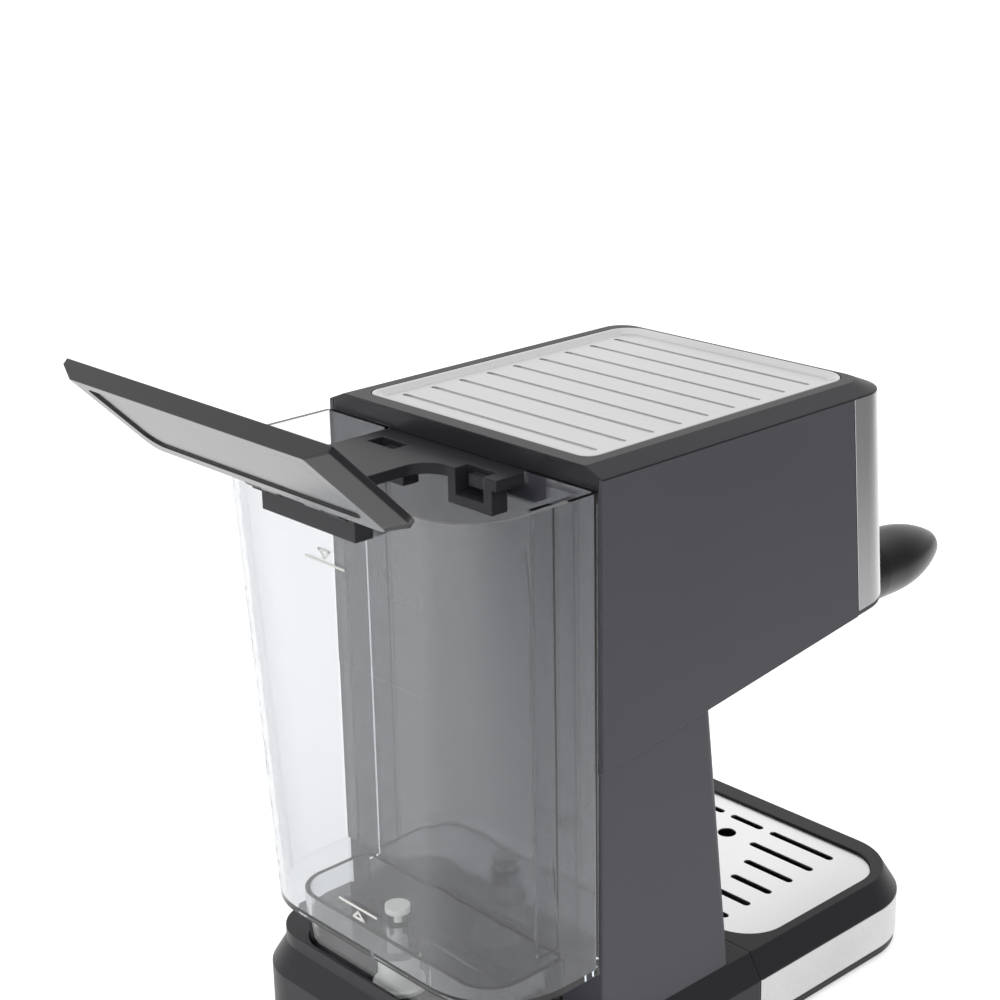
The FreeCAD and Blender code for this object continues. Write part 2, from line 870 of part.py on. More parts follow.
def make_tray_band():
    body = new_body()
    bottom = plate_top + S.free_gap + 0.4
    outer = flat(body, bottom)
    tray_outline(outer, 0, 0.2)
    pad(body, outer, S.bevel_low - 0.1 - bottom)
    inner = flat(body, bottom)
    half = S.base_half - S.sheet
    radius = S.tray_corner - S.sheet
    rounded(inner, -half, half, S.base_front + S.sheet, S.tray_seam + 20, (radius, radius, 1, 1))
    pocket(body, inner, S.bevel_low, reverse=True)
    keep("tray_band", body)


# Inner ends of the slots, row by row from the front.
SLOT_STARTS = (16.6, 16.6, 27.0, 32.3, 32.3, 27.0)


def make_drip_grid():
    body = new_body()
    outline = flat(body, grid_low)
    grid_outline(outline, 0)
    pad(body, outline, grid_thick)
    slots = flat(body, grid_low + grid_thick)
    for row, start in enumerate(SLOT_STARTS):
        y = S.slot_first + S.slot_pitch * row
        slot(slots, start, S.slot_end, y, S.slot_width)
        slot(slots, -S.slot_end, dim(-start), y, S.slot_width)
    slot(slots, -11, 11, S.slot_first, S.slot_width)
    circle(slots, 0, S.slot_first + S.slot_pitch, 5.0)
    pocket(body, slots, grid_thick)
    keep("drip_grid", body)


tank_near = S.head_back + 0.6


# Plan outline of the tank; the share is 0 at the floor and 1 at the rim.
def tank_section(body, height, share, inset):
    sketch = flat(body, height)
    half = S.tank_half - inset
    back = S.tank_back - S.tank_taper * (1 - share) - inset
    radius = S.tank_corner + S.tank_taper * 1.5 * (1 - share) - inset
    square = 3.0 - inset
    rounded(sketch, -half, half, tank_near + inset, back, (square, square, radius, radius))
    return sketch


def skirt_outline(sketch, inset):
    half = S.skirt_half - inset
    near = S.head_back + S.free_gap + S.wall + 0.8 + inset
    rounded(sketch, -half, half, near, S.skirt_back - inset, (5 - inset, 5 - inset, 18 - inset, 18 - inset))


grip_half = 46.0
rail_x = 62.0


def make_tank():
    body = new_body()
    loft("AdditiveLoft", body, tank_section(body, S.tank_floor, 0, 0), tank_section(body, tank_rim, 1, 0))
    inner_low = S.tank_floor + S.tank_wall
    reach = 1.0
    inner_floor = tank_section(body, inner_low, 0, S.tank_wall)
    inner_mouth = tank_section(body, tank_rim + reach, 1, S.tank_wall)
    loft("SubtractiveLoft", body, inner_floor, inner_mouth)
    # Foot that stands in the base, open below.
    skirt = flat(body, S.tank_floor)
    skirt_outline(skirt, 0)
    skirt_outline(skirt, S.tank_wall)
    pad(body, skirt, S.tank_floor - S.rim_high - 0.3, reverse=True)
    # Nozzle for the valve.
    nozzle = flat(body, nozzle_low)
    circle(nozzle, S.valve_x, S.valve_y, nozzle_radius)
    pad(body, nozzle, S.tank_floor - nozzle_low + 0.5)
    bore = flat(body, nozzle_low)
    circle(bore, S.valve_x, S.valve_y, nozzle_bore)
    pocket(body, bore, S.tank_floor - nozzle_low + S.tank_wall + 1, reverse=True)
    # Rails that stiffen the wall at the machine side.
    rails = flat(body, S.tank_floor + 1)
    near = S.head_back + 2
    for x in (-rail_x, rail_x):
        polygon(rails, [(x - 1.2, near), (x + 1.2, near), (x + 1.2, near + 13), (x - 1.2, near + 13)])
    pad(body, rails, tank_rim - S.tank_floor - 12)
    # Notch that the grip hooks over.
    notch = front(body, S.head_back)
    low = tank_rim - 6
    half = grip_half + 0.3
    polygon(notch, [(-half, low), (half, low), (half, tank_rim + 1), (-half, tank_rim + 1)])
    pocket(body, notch, 5)
    # Holes for the pegs of the hinge block.
    holes = front(body, S.tank_back - 12)
    for x in peg_spots:
        circle(holes, x, peg_z, 2.6)
    pocket(body, holes, 20)
    keep("tank_body", body)


nozzle_low = S.rim_high + 10
nozzle_radius = 8.0
nozzle_bore = 4.6
peg_spots = (-20.0, 20.0)
peg_z = tank_rim - 10


def make_tank_grip():
    body = new_body()
    top = tank_rim - 0.8
    near = tank_near + S.tank_wall + 0.6
    strip = flat(body, top)
    arm_side = -2.0
    arm_end = 164.0
    strip_end = 127.0
    polygon(
        strip,
        [
            (-grip_half, near),
            (grip_half, near),
            (grip_half, arm_end),
            (arm_side, arm_end),
            (arm_side, strip_end),
            (-grip_half, strip_end),
        ],
    )
    pad(body, strip, 5.0, reverse=True)
    corner = (arm_side, strip_end)
    soften(body, lambda b: math.dist((b.XMax, b.YMax), corner) < 0.1 and b.ZLength > 4, 13.0)
    # Deeper blocks round the two clip recesses.
    for x in clip_spots:
        block = flat(body, top - 4)
        polygon(
            block,
            [(x - 14, strip_end - 9), (x + 14, strip_end - 9), (x + 14, strip_end), (x - 14, strip_end)],
        )
        pad(body, block, 12.5, reverse=True)
        recess = flat(body, top)
        low, high = strip_end - 8, strip_end + 1
        polygon(recess, [(x - 9, low), (x + 9, low), (x + 9, high), (x - 9, high)])
        pocket(body, recess, 12.0)
        hook = flat(body, top - 3)
        low, high = strip_end - 9, strip_end - 4
        polygon(hook, [(x - 5, low), (x + 5, low), (x + 5, high), (x - 5, high)])
        pad(body, hook, 5.0, reverse=True)
    # Lip over the notched wall.
    lip = flat(body, top)
    polygon(
        lip,
        [(-grip_half, near - 3.0), (grip_half, near - 3.0), (grip_half, near + 1), (-grip_half, near + 1)],
    )
    pad(body, lip, 5.0, reverse=True)
    keep("tank_grip", body)


clip_spots = (-29.0, 29.0)


def make_hinge_block():
    near = S.tank_back + 0.2
    far = near + 9.4
    half = 31.5
    bar = box((-half, near, tank_rim - 15.5), (half, far, tank_rim - 3.5))
    knuckles = []
    for x in (-half, half - 10):
        knuckles.append(rod(S.knuckle, 10, (x, S.hinge_y, hinge_z), "X"))
        knuckles.append(box((x, far - 5, tank_rim - 5), (x + 10, S.hinge_y, hinge_z)))
    pegs = []
    for x in peg_spots:
        pegs.append(rod(2.5, 6.0, (x, near - 5, peg_z), "Y"))
    hole = rod(1.55, half * 2, (-half, S.hinge_y, hinge_z), "X")
    keep("lid_hinge_block", cut(fuse(bar, *knuckles, *pegs), hole))


def make_hinge_pin():
    keep("lid_hinge_pin", rod(1.5, 62, (-31, S.hinge_y, hinge_z), "X"))


lid_low = cover_top - S.lid_thick
lid_corner = 9.0


def make_lid():
    body = new_body()
    free = S.lid_free
    back = S.lid_back
    square = 1.0
    lower = flat(body, lid_low)
    corners = (square, square, lid_corner, lid_corner)
    rounded(lower, -S.head_half, S.head_half, free, back, corners)
    pad(body, lower, 3.0)
    bevel_start = flat(body, lid_low + 3.0)
    rounded(bevel_start, -S.head_half, S.head_half, free, back, corners)
    bevel_end = flat(body, cover_top)
    half = S.head_half - S.cover_bevel
    rounded(bevel_end, -half, half, free, back - 2.5, (square, square, 6, 6))
    loft("AdditiveLoft", body, bevel_start, bevel_end)
    panel = flat(body, cover_top)
    rounded(panel, -half + 7, half - 7, free + 5.5, back - 9, (3, 3, 8, 8))
    pocket(body, panel, 1.0)
    hollow = flat(body, lid_low)
    inset = 2.4
    rounded(
        hollow,
        -S.head_half + inset,
        S.head_half - inset,
        free + inset,
        back - inset,
        (1, 1, lid_corner - inset, lid_corner - inset),
    )
    pocket(body, hollow, 2.6, reverse=True)
    deeper = flat(body, lid_low + 2.6)
    inset = 7.0
    rounded(deeper, -half + 1, half - 1, free + inset - 4, back - inset, (1, 1, 5, 5))
    pocket(body, deeper, S.lid_thick - 2.6 - 3.2, reverse=True)
    # Hinge lugs and their knuckles.
    lugs = side(body, -20.5)
    polygon(
        lugs,
        [
            (back - 4, lid_low + 0.2),
            (S.hinge_y, hinge_z - 3.6),
            (S.hinge_y, hinge_z + 3.6),
            (back - 4, cover_top - 2.2),
        ],
    )
    pad(body, lugs, 41)
    knuckle = side(body, -20.5)
    circle(knuckle, S.hinge_y, hinge_z, S.knuckle)
    pad(body, knuckle, 41)
    gap = side(body, -9.0)
    low = lid_low - 10
    high = cover_top + 20
    polygon(gap, [(back + 0.5, low), (back + 36, low), (back + 36, high), (back + 0.5, high)])
    pocket(body, gap, 18, reverse=True)
    hole = side(body, -30)
    circle(hole, S.hinge_y, hinge_z, 1.55)
    pocket(body, hole, 60, reverse=True)
    # It stands open, turned back about the hinge.
    axis_point = FreeCAD.Vector(0, S.hinge_y.value, hinge_z.value)
    turn = FreeCAD.Rotation(X_AXIS, -S.lid_open.value)
    body.Placement = FreeCAD.Placement(FreeCAD.Vector(), turn, axis_point)
    keep("tank_lid", body)


def make_valve():
    x = S.valve_x
    y = S.valve_y
    floor_top = S.tank_floor + S.tank_wall
    cap = rod(6.0, 3.0, (x, y, floor_top + 4.0))
    stem_low = nozzle_low - 0.3
    stem = rod(2.0, floor_top + 4.0 - stem_low, (x, y, stem_low))
    keep("valve_plunger", fuse(cap, stem))
    guide = tube(4.5, 2.3, 6.0, (x, y, nozzle_low + 8))
    keep("valve_guide", guide)
    # Socket in the base that the nozzle drops into.
    flange = rod(13.0, 2.0, (x, y, S.rim_high))
    wall_tube = rod(10.4, 25.0, (x, y, S.rim_high - 7))
    bore = rod(nozzle_radius + 0.5, 18.0, (x, y, S.rim_high + 1))
    barb = rod(3.9, 6.0, (x, y, S.rim_high - 12))
    way = rod(2.4, 40.0, (x, y, S.rim_high - 14))
    post = rod(1.2, 8.2, (x, y, S.rim_high + 1))
    spoke = box((x - 3.5, y - 0.8, S.rim_high - 0.5), (x + 3.5, y + 0.8, S.rim_high + 1.5))
    socket = cut(fuse(flange, wall_tube, barb), bore, way)
    keep("inlet_socket", fuse(socket, spoke, post))
    keep("inlet_seal", tube(11.2, nozzle_radius + 0.4, 2.6, (x, y, S.rim_high + 18)))


pump_low = S.rim_high + 51
pump_high = pump_low + 58
shelf_low = pump_low - 14
shelf_high = pump_high + 8
hose_end = pump_low - 26
barb_radius = 3.6


def make_pump():
    x = S.valve_x
    y = S.pump_y
    coil = box((x - 24, y - 22, pump_low), (x + 24, y + 22, pump_high))
    inlet = rod(5.0, pump_low - hose_end, (x, y, hose_end))
    barb = rod(barb_radius, 10.0, (x, y, hose_end - 8))
    outlet = rod(6.5, 20.0, (x, y, pump_high))
    top_barb = rod(barb_radius, 10.0, (x, y, pump_high + 20))
    keep("pump", fuse(coil, inlet, barb, outlet, top_barb))
    lower = tube(12.0, 5.0, 10.0, (x, y, shelf_low - 3.5))
    upper = tube(12.0, 6.5, 8.0, (x, y, shelf_high - 3.5))
    groove_low = tube(14.0, 10.0, 3.0, (x, y, shelf_low))
    groove_high = tube(14.0, 10.0, 3.0, (x, y, shelf_high - 0.5))
    keep("pump_mounts", group(cut(lower, groove_low), cut(upper, groove_high)))
    back_y = S.head_back - 10
    plate = box((x - 28, back_y, S.rim_high), (x + 28, back_y + 2, shelf_high + 2.5))
    foot = box((x - 28, back_y - 10, S.rim_high), (x + 28, back_y + 7, S.rim_high + 2))
    shelves = []
    holes = []
    for z in (shelf_low, shelf_high - 0.5):
        shelves.append(box((x - 28, y - 18, z + 0.2), (x + 28, back_y + 1, z + 2.8)))
        holes.append(rod(10.2, 6, (x, y, z - 1)))
    keep("pump_bracket", cut(fuse(plate, foot, *shelves), *holes))


# A pipe through straight runs joined by tangent arcs; the sketch plane holds its middle line.
def bent_pipe(label, body, path, centre, stops, outer, inner, bend):
    stops = [FreeCAD.Vector(dim(a).value, dim(b).value, 0) for a, b in stops]
    edges = []
    begin = stops[0]
    for before, corner, after in zip(stops, stops[1:], stops[2:]):
        into = (corner - before).normalize()
        out = (after - corner).normalize()
        half_turn = into.getAngle(out) / 2
        tangent = bend * math.tan(half_turn)
        inward = (out - into).normalize()
        middle = corner + inward * (bend / math.cos(half_turn) - bend)
        arc_start = corner - into * tangent
        arc_end = corner + out * tangent
        edges.append(Part.LineSegment(begin, arc_start))
        edges.append(Part.Arc(arc_start, middle, arc_end))
        begin = arc_end
    edges.append(Part.LineSegment(begin, stops[-1]))
    for edge in edges:
        index = path.addGeometry(edge)
        path.addConstraint(Sketcher.Constraint("Block", index))
    profile = flat(body, stops[0].y)
    circle(profile, *centre, outer)
    circle(profile, *centre, inner)
    pipe(body, path, profile)
    keep(label, body)


inlet_z = boiler_low + 11
hose_bend = 14.0


def make_hoses():
    low = plate_top + 10
    body = new_body()
    stops = [(S.valve_y, S.rim_high - 9), (S.valve_y, low), (S.pump_y, low), (S.pump_y, hose_end)]
    centre = (S.valve_x, S.valve_y)
    bent_pipe("suction_hose", body, side(body, S.valve_x), centre, stops, 5.6, 4.1, hose_bend)
    body = new_body()
    stops = [
        (S.pump_y, pump_high + 20),
        (S.pump_y, inlet_z),
        (S.group_y + S.boiler_radius + 4, inlet_z),
    ]
    centre = (S.valve_x, S.pump_y)
    bent_pipe("pressure_hose", body, side(body, S.valve_x), centre, stops, 5.2, 3.7, hose_bend)


shell_wall = 4.0
joint_z = boiler_low + 22
seal_thick = 1.0
flange_radius = S.boiler_radius + 8
bolt_offset = 29.0
bolt_spots = [(x, S.group_y + y) for x in (-bolt_offset, bolt_offset) for y in (-bolt_offset, bolt_offset)]
boiler_top = joint_z + seal_thick + 27
element_legs = [(-22, S.group_y - 7), (-22, S.group_y + 7)]
leg_radius = 3.0
pipe_x = 20.0
pipe_y = S.group_y - 24


def make_boiler():
    axis = (0, S.group_y)
    inner = S.boiler_radius - shell_wall
    # Lower half with the water inlet.
    pot = rod(S.boiler_radius, joint_z - boiler_low, (*axis, boiler_low))
    flange = rod(flange_radius, 4.0, (*axis, joint_z - 4))
    inlet_start = S.group_y + S.boiler_radius - 6
    collar = rod(6.0, 10.0, (S.valve_x, inlet_start, inlet_z), "Y")
    barb = rod(barb_radius, 20.0, (S.valve_x, inlet_start, inlet_z), "Y")
    hollow = rod(inner, joint_z, (*axis, boiler_low + shell_wall))
    outlet = rod(3.0, 10.0, (*axis, boiler_low - 1))
    bore = rod(2.2, 30.0, (S.valve_x, inlet_start - 5, inlet_z), "Y")
    holes = [rod(2.0, 20.0, (x, y, joint_z - 10)) for x, y in bolt_spots]
    keep("boiler_lower", cut(fuse(pot, flange, collar, barb), hollow, outlet, bore, *holes))
    keep("boiler_seal", tube(S.boiler_radius + 2, inner, seal_thick, (*axis, joint_z)))
    # Upper half with the element's openings.
    start = joint_z + seal_thick
    dome = rod(S.boiler_radius, boiler_top - start, (*axis, start))
    flange = rod(flange_radius, 4.0, (*axis, start))
    hollow = rod(inner, boiler_top - start - shell_wall, (*axis, start))
    holes = [rod(2.0, 8.0, (x, y, start - 2)) for x, y in bolt_spots]
    openings = [rod(leg_radius + 0.1, 10.0, (x, y, boiler_top - 6)) for x, y in element_legs]
    steam_way = rod(2.0, 10.0, (pipe_x, pipe_y, boiler_top - 6))
    keep("boiler_upper", cut(fuse(dome, flange), hollow, steam_way, *holes, *openings))
    bolts = []
    for x, y in bolt_spots:
        head = rod(3.2, 2.6, (x, y, start + 4))
        shank = rod(1.9, 14.0, (x, y, joint_z - 7))
        nut = rod(3.4, 2.4, (x, y, joint_z - 6.4))
        bolts.append(fuse(head, shank, nut))
    keep("boiler_bolts", group(*bolts))
    # Ring-shaped heating element with two legs through the top.
    loop_radius = math.hypot(22, 7)
    parts = [ring(loop_radius, 4.0, (*axis, boiler_low + 12))]
    for x, y in element_legs:
        parts.append(rod(leg_radius, boiler_top + 8 - boiler_low - 12, (x, y, boiler_low + 12)))
        parts.append(rod(1.5, 6.0, (x, y, boiler_top + 8)))
    keep("heating_element", fuse(*parts))
    sensors = []
    for x, y in ((2, S.group_y - 18), (13, S.group_y + 12)):
        cap = rod(6.0, 7.0, (x, y, boiler_top))
        low = boiler_top + 7
        tabs = [box((x + dx, y - 1.5, low), (x + dx + 0.8, y + 1.5, low + 6)) for dx in (-3.4, 2.6)]
        sensors.append(fuse(cap, *tabs))
    keep("thermostats", group(*sensors))
    strap = box((-14, S.group_y + 18, boiler_top), (4, S.group_y + 26, boiler_top + 0.8))
    fuse_body = rod(2.4, 14.0, (-12, S.group_y + 22, boiler_top + 3), "X")
    keep("thermal_fuse", fuse(strap, fuse_body))


# Points on a circle round the brew axis, in degrees from +X.
def around(radius, first, last, count):
    points = []
    for i in range(count):
        angle = math.radians(first + (last - first) * i / (count - 1))
        points.append((radius * math.cos(angle), S.group_y + radius * math.sin(angle)))
    return points


lip_radius = S.collar_radius - 6.4
groove_radius = S.collar_radius - 2.8
seat_radius = S.collar_radius - 7.4
screen_radius = S.collar_radius - 16.4
lip_top = collar_low + 4.6
gasket_low = collar_low + 12
gasket_high = gasket_low + 6
unlock_angle = -45.0
ear_half = 9.0


def make_group_head():
    body = new_body()
    section = front(body, S.group_y)
    top = flange_low + flange_thick
    polygon(
        section,
        [
            (2.5, top),
            (S.collar_radius + 4, top),
            (S.collar_radius + 4, flange_low),
            (S.collar_radius, flange_low),
            (S.collar_radius, collar_low),
            (lip_radius, collar_low),
            (lip_radius, lip_top),
            (groove_radius, lip_top),
            (groove_radius, gasket_low + 0.2),
            (seat_radius, gasket_low + 0.2),
            (seat_radius, gasket_high),
            (screen_radius + 1, gasket_high),
            (screen_radius + 1, gasket_high - 2),
            (2.5, gasket_high - 2),
        ],
    )
    revolve(body, section)
    ears = flat(body, flange_low)
    for x, y in boss_spots:
        circle(ears, x, y, 6.0)
    pad(body, ears, flange_thick)
    holes = flat(body, flange_low)
    for x, y in boss_spots:
        circle(holes, x, y, 1.8)
    pocket(body, holes, flange_thick, reverse=True)
    # Ways in for the ears of the filter holder.
    ways = flat(body, collar_low)
    reach = 20.0
    for angle in (unlock_angle, unlock_angle + 180):
        inner = around(lip_radius - 3.6, angle + reach, angle - reach, 2)
        outer = around(groove_radius, angle - reach, angle + reach, 5)
        polygon(ways, inner + outer)
    pocket(body, ways, lip_top - collar_low, reverse=True)
    keep("group_head", body)
    axis = (0, S.group_y)
    gasket = tube(seat_radius - 0.2, screen_radius + 1.2, gasket_high - gasket_low, (*axis, gasket_low))
    keep("group_gasket", gasket)
    screen_low = gasket_low + 1.4
    screen = rod(screen_radius, gasket_high - 2 - screen_low, (*axis, screen_low))
    space = rod(screen_radius - 0.8, 5.0, (*axis, screen_low + 0.8))
    jets = []
    for x, y in around(9, 0, 300, 6) + around(16, 0, 324, 10):
        jets.append(rod(1.0, 4.0, (x, y, screen_low - 1)))
    centre = rod(2.6, 4.0, (*axis, screen_low - 1))
    keep("shower_screen", cut(screen, space, centre, *jets))
    head = rod(4.4, 1.2, (*axis, screen_low - 1.2))
    keep("shower_screw", fuse(head, rod(2.4, 14.0, (*axis, screen_low - 1))))
    screws = []
    for x, y in boss_spots:
        screws.append(fuse(rod(3.2, 2.6, (x, y, top)), rod(1.5, 12.0, (x, y, top - 12))))
    keep("group_screws", group(*screws))


cup_radius = S.collar_radius - 7.1
cup_low = collar_low - 22
neck_front = -104.0


def make_filter_holder():
    axis = (0, S.group_y)
    ear_low = lip_top + 0.4
    ear_high = ear_low + 5.4
    cup = rod(cup_radius, ear_high - cup_low, (*axis, cup_low))
    ears = doc.addObject("Part::MultiCommon", "Ears")
    ear_near = (-groove_radius, S.group_y - ear_half, ear_low)
    ear_far = (groove_radius, S.group_y + ear_half, ear_high)
    ears.Shapes = [
        tube(groove_radius - 0.5, cup_radius - 2, ear_high - ear_low, (*axis, ear_low)),
        box(ear_near, ear_far),
    ]
    neck = rod(7.5, S.group_y - 24 - neck_front, (0, neck_front, handle_z), "Y")
    collar = rod(9.0, 6.0, (0, neck_front + 16, handle_z), "Y")
    inner = rod(cup_radius - 2.5, 40.0, (*axis, cup_low + 3))
    outlet = rod(3.0, 10.0, (*axis, cup_low - 2))
    keep("filter_holder", cut(fuse(cup, ears, neck, collar), inner, outlet))
    # Basket that hangs by its rim.
    body = new_body()
    section = front(body, S.group_y)
    steel = 0.7
    rim = ear_high
    foot = cup_radius - 6.5
    polygon(
        section,
        [
            (0, cup_low + 7),
            (foot, cup_low + 7),
            (foot + 2, rim),
            (foot + 5.6, rim),
            (foot + 5.6, rim + steel),
            (foot + 2 - steel, rim + steel),
            (foot - steel, cup_low + 7 + steel),
            (0, cup_low + 7 + steel),
        ],
    )
    revolve(body, section)
    holes = flat(body, cup_low + 7)
    for x, y in around(7, 0, 240, 3) + around(15, 0, 315, 8):
        circle(holes, x, y, 0.9)
    pocket(body, holes, steel, reverse=True)
    keep("filter_basket", body)
    keep("basket_clip", tube(cup_radius - 2.7, cup_radius - 3.9, 1.2, (*axis, cup_low + 24)))
    hub = rod(8.0, 6.0, (*axis, cup_low - 6))
    bar = box((-17, S.group_y - 5, cup_low - 11), (17, S.group_y + 5, cup_low - 4))
    legs = [rod(4.6, 9.0, (x, S.group_y, cup_low - 14)) for x in (-12.4, 12.4)]
    ways = [rod(2.6, 8.0, (x, S.group_y, cup_low - 15)) for x in (-12.4, 12.4)]
    cross = rod(2.6, 24.8, (-12.4, S.group_y, cup_low - 7.4), "X")
    down = rod(2.6, 10.0, (*axis, cup_low - 7.4))
    keep("spout", cut(fuse(hub, bar, *legs), *ways, cross, down))


def make_handle():
    body = new_body()
    section = side(body)
    start = neck_front + 16.0
    tip = S.handle_tip
    widest = tip + 62
    radius = S.handle_radius
    # The dome is a flat arc that runs into a tight one, down to a small flat at the tip.
    dome = 46.0
    tight = 10.0
    wide = ((dome - tight) ** 2 + radius.value**2 - tight**2) / (radius.value - tight) / 2
    turn = math.asin((dome - tight) / (wide - tight))
    last = math.acos(0.3)

    def on_wide(angle):
        return point(tip + dome - wide * math.sin(angle), radius - wide + wide * math.cos(angle))

    def on_tight(angle):
        return point(tip + tight - tight * math.sin(angle), tight * math.cos(angle))

    end = on_tight(last)
    edges = [
        Part.LineSegment(point(end.x, 0), point(start, 0)),
        Part.LineSegment(point(start, 0), point(start, 12)),
        Part.LineSegment(point(start, 12), point(start - 8, 12)),
        Part.Arc(point(start - 8, 12), point(start - 40, 14.6), point(widest, radius)),
        Part.LineSegment(point(widest, radius), on_wide(0)),
        Part.Arc(on_wide(0), on_wide(turn / 2), on_wide(turn)),
        Part.Arc(on_wide(turn), on_tight((turn + last) / 2), end),
        Part.LineSegment(end, point(end.x, 0)),
    ]
    for edge in edges:
        index = section.addGeometry(edge)
        section.addConstraint(Sketcher.Constraint("Block", index))
    revolve(body, section, "H_Axis")
    bore = front(body, start)
    circle(bore, 0, 0, 7.6)
    pocket(body, bore, 16.2, reverse=True)
    place(body, 0, 0, handle_z)
    keep("handle_grip", body)


TILT = FreeCAD.Rotation(X_AXIS, -math.degrees(math.atan2(S.lean_depth.value, lean_height.value)))
back_of_frame = 3.45
board_y = 19.0


# Sets a piece drawn about the origin on the leaning panel: x across, y inwards, z up the panel.
def on_panel(feature, x):
    feature.Placement.Rotation = TILT
    place(feature, x, panel_face(control_z), control_z)
    return feature


def make_buttons():
    for label, x in zip(("power_button", "coffee_button", "steam_button"), button_spots):
        cap = rod(S.button_radius, 7.0, (0, -3.2, 0), "Y")
        flange = rod(S.button_radius + 1.6, 1.4, (0, 3.8, 0), "Y")
        stem = rod(2.5, 7.0, (0, 4.6, 0), "Y")
        dimple = ball(14.0, (0, -16.4, 0))
        keep(label, on_panel(cut(fuse(cap, flange, stem), dimple), x))
    lenses = []
    for x in button_spots:
        lens = rod(2.0, 6.0, (0, -0.6, 16), "Y")
        light_pipe = rod(1.5, board_y - 0.3, (0, 0, 16), "Y")
        flange = rod(3.2, 1.2, (0, back_of_frame, 16), "Y")
        lenses.append(on_panel(fuse(lens, light_pipe, flange), x))
    keep("indicator_lenses", group(*lenses))


def make_board():
    middle = button_spots[1]
    half = 42.0
    low = -10.0
    high = 21.0
    plate = box((-half, board_y, low), (half, board_y + 1.6, high))
    posts = []
    for x in (-half + 4, half - 4):
        for z in (low + 4, high - 4):
            posts.append(rod(2.6, board_y - back_of_frame + 0.5, (x, back_of_frame, z), "Y"))
    keep("control_board", on_panel(fuse(plate, *posts), middle))
    switches = []
    for x in button_spots:
        case = box((-3, board_y - 4.4, -3), (3, board_y, 3))
        plunger = rod(1.6, 1.0, (0, board_y - 5.2, 0), "Y")
        switches.append(on_panel(fuse(case, plunger), x))
    keep("switches", group(*switches))


valve_start = 14.0
valve_end = 36.0
stub_low = control_z - 24
wand_radius = 4.0
stem_radius = 3.0
run_play = 0.1


def make_steam():
    x = S.knob_x
    block = box((-9, valve_start, -11), (9, valve_end, 11))
    neck = rod(7.0, valve_start + 1 - back_of_frame, (0, back_of_frame, 0), "Y")
    bore = rod(stem_radius + run_play, valve_start + 8, (0, 0, 0), "Y")
    block = on_panel(cut(fuse(block, neck), bore), x)
    stub = rod(6.0, control_z - 7 - stub_low, (x, S.wand_y, stub_low))
    way = rod(wand_radius + run_play, 9.0, (x, S.wand_y, stub_low - 1))
    keep("steam_valve", cut(fuse(block, stub), way))
    shaft = rod(stem_radius, 30.0, (0, -12, 0), "Y")
    needle = rod(1.4, 3.0, (0, 18, 0), "Y")
    keep("steam_stem", on_panel(fuse(shaft, needle), x))
    # Knob with finger flutes.
    radius = 16.0
    knob = rod(radius, 14.0, (0, -18, 0), "Y")
    skirt = rod(radius + 1.5, 2.4, (0, -5, 0), "Y")
    flutes = []
    for i in range(10):
        angle = math.radians(36 * i)
        flutes.append(rod(3.0, 12.0, (18 * math.cos(angle), -18.5, 18 * math.sin(angle)), "Y"))
    stem_hole = rod(stem_radius, 10.0, (0, -12, 0), "Y")
    keep("steam_knob", on_panel(cut(fuse(cut(knob, *flutes), skirt), stem_hole), x))
    body = new_body()
    stops = [(pipe_x, boiler_top), (pipe_x, control_z), (S.knob_x - 9, control_z)]
    bent_pipe("steam_pipe", body, front(body, pipe_y), (pipe_x, pipe_y), stops, 3.0, 2.0, 8.0)
    # Wand, its nut in the floor of the head, and its tip.
    spot = (x, S.wand_y)
    floor_z = head_edge(S.wand_y)
    nut = fuse(
        rod(6.6, 14.0, (*spot, floor_z - 4.6)),
        rod(9.0, 3.0, (*spot, floor_z - 4.4)),
        rod(9.0, 3.6, (*spot, floor_z + S.wall + 1.2)),
    )
    keep("wand_nut", cut(nut, rod(wand_radius + run_play, 30.0, (*spot, floor_z - 10))))
    body = new_body()
    bend_z = S.head_low + 2.6
    reach = 16
    drop = 82
    tip = (S.wand_y - reach, bend_z - drop)
    stops = [(S.wand_y, stub_low + 6), (S.wand_y, bend_z), tip]
    bent_pipe("steam_wand", body, side(body, x), spot, stops, wand_radius, 2.4, 24.0)
    # The sleeve follows the wand's slanting end.
    slant = math.degrees(math.atan2(reach, drop))
    sleeve = tube(7.0, wand_radius, 52.0, (0, 0, -5))
    sleeve.Placement.Rotation = FreeCAD.Rotation(X_AXIS, -slant)
    place(sleeve, x, *tip)
    keep("froth_sleeve", sleeve)


make_base_plate()
make_feet()
make_base_shell()
make_cord_gland()
make_base_screws()
make_column()
make_upper_housing()
make_front_frame()
make_front_panel()
make_top_cover()
make_cup_plate()
make_drip_tray()
make_tray_band()
make_drip_grid()
make_tank()
make_tank_grip()
make_hinge_block()
make_hinge_pin()
make_lid()
make_valve()
make_pump()
make_hoses()
make_boiler()
make_group_head()
make_filter_holder()
make_handle()
make_buttons()
make_board()
make_steam()

doc.recompute()
faults = [item.Name + " " + item.Label for item in doc.Objects if {"Invalid", "Error"} & set(item.State)]
for label, piece in pieces.items():
    if piece.Shape.isNull() or not piece.Shape.isValid() or not piece.Shape.Solids:
        faults.append("no valid shape: " + label)
if faults:
    raise RuntimeError("; ".join(faults))
os.makedirs("parts", exist_ok=True)
for label, piece in pieces.items():
    piece.Shape.exportStep("parts/" + label + ".step")
    box_size = piece.Shape.BoundBox
    print(label, len(piece.Shape.Solids), round(piece.Shape.Volume), box_size)
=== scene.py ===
import json
import math

import bmesh
import bpy
from mathutils import Matrix, Quaternion, Vector


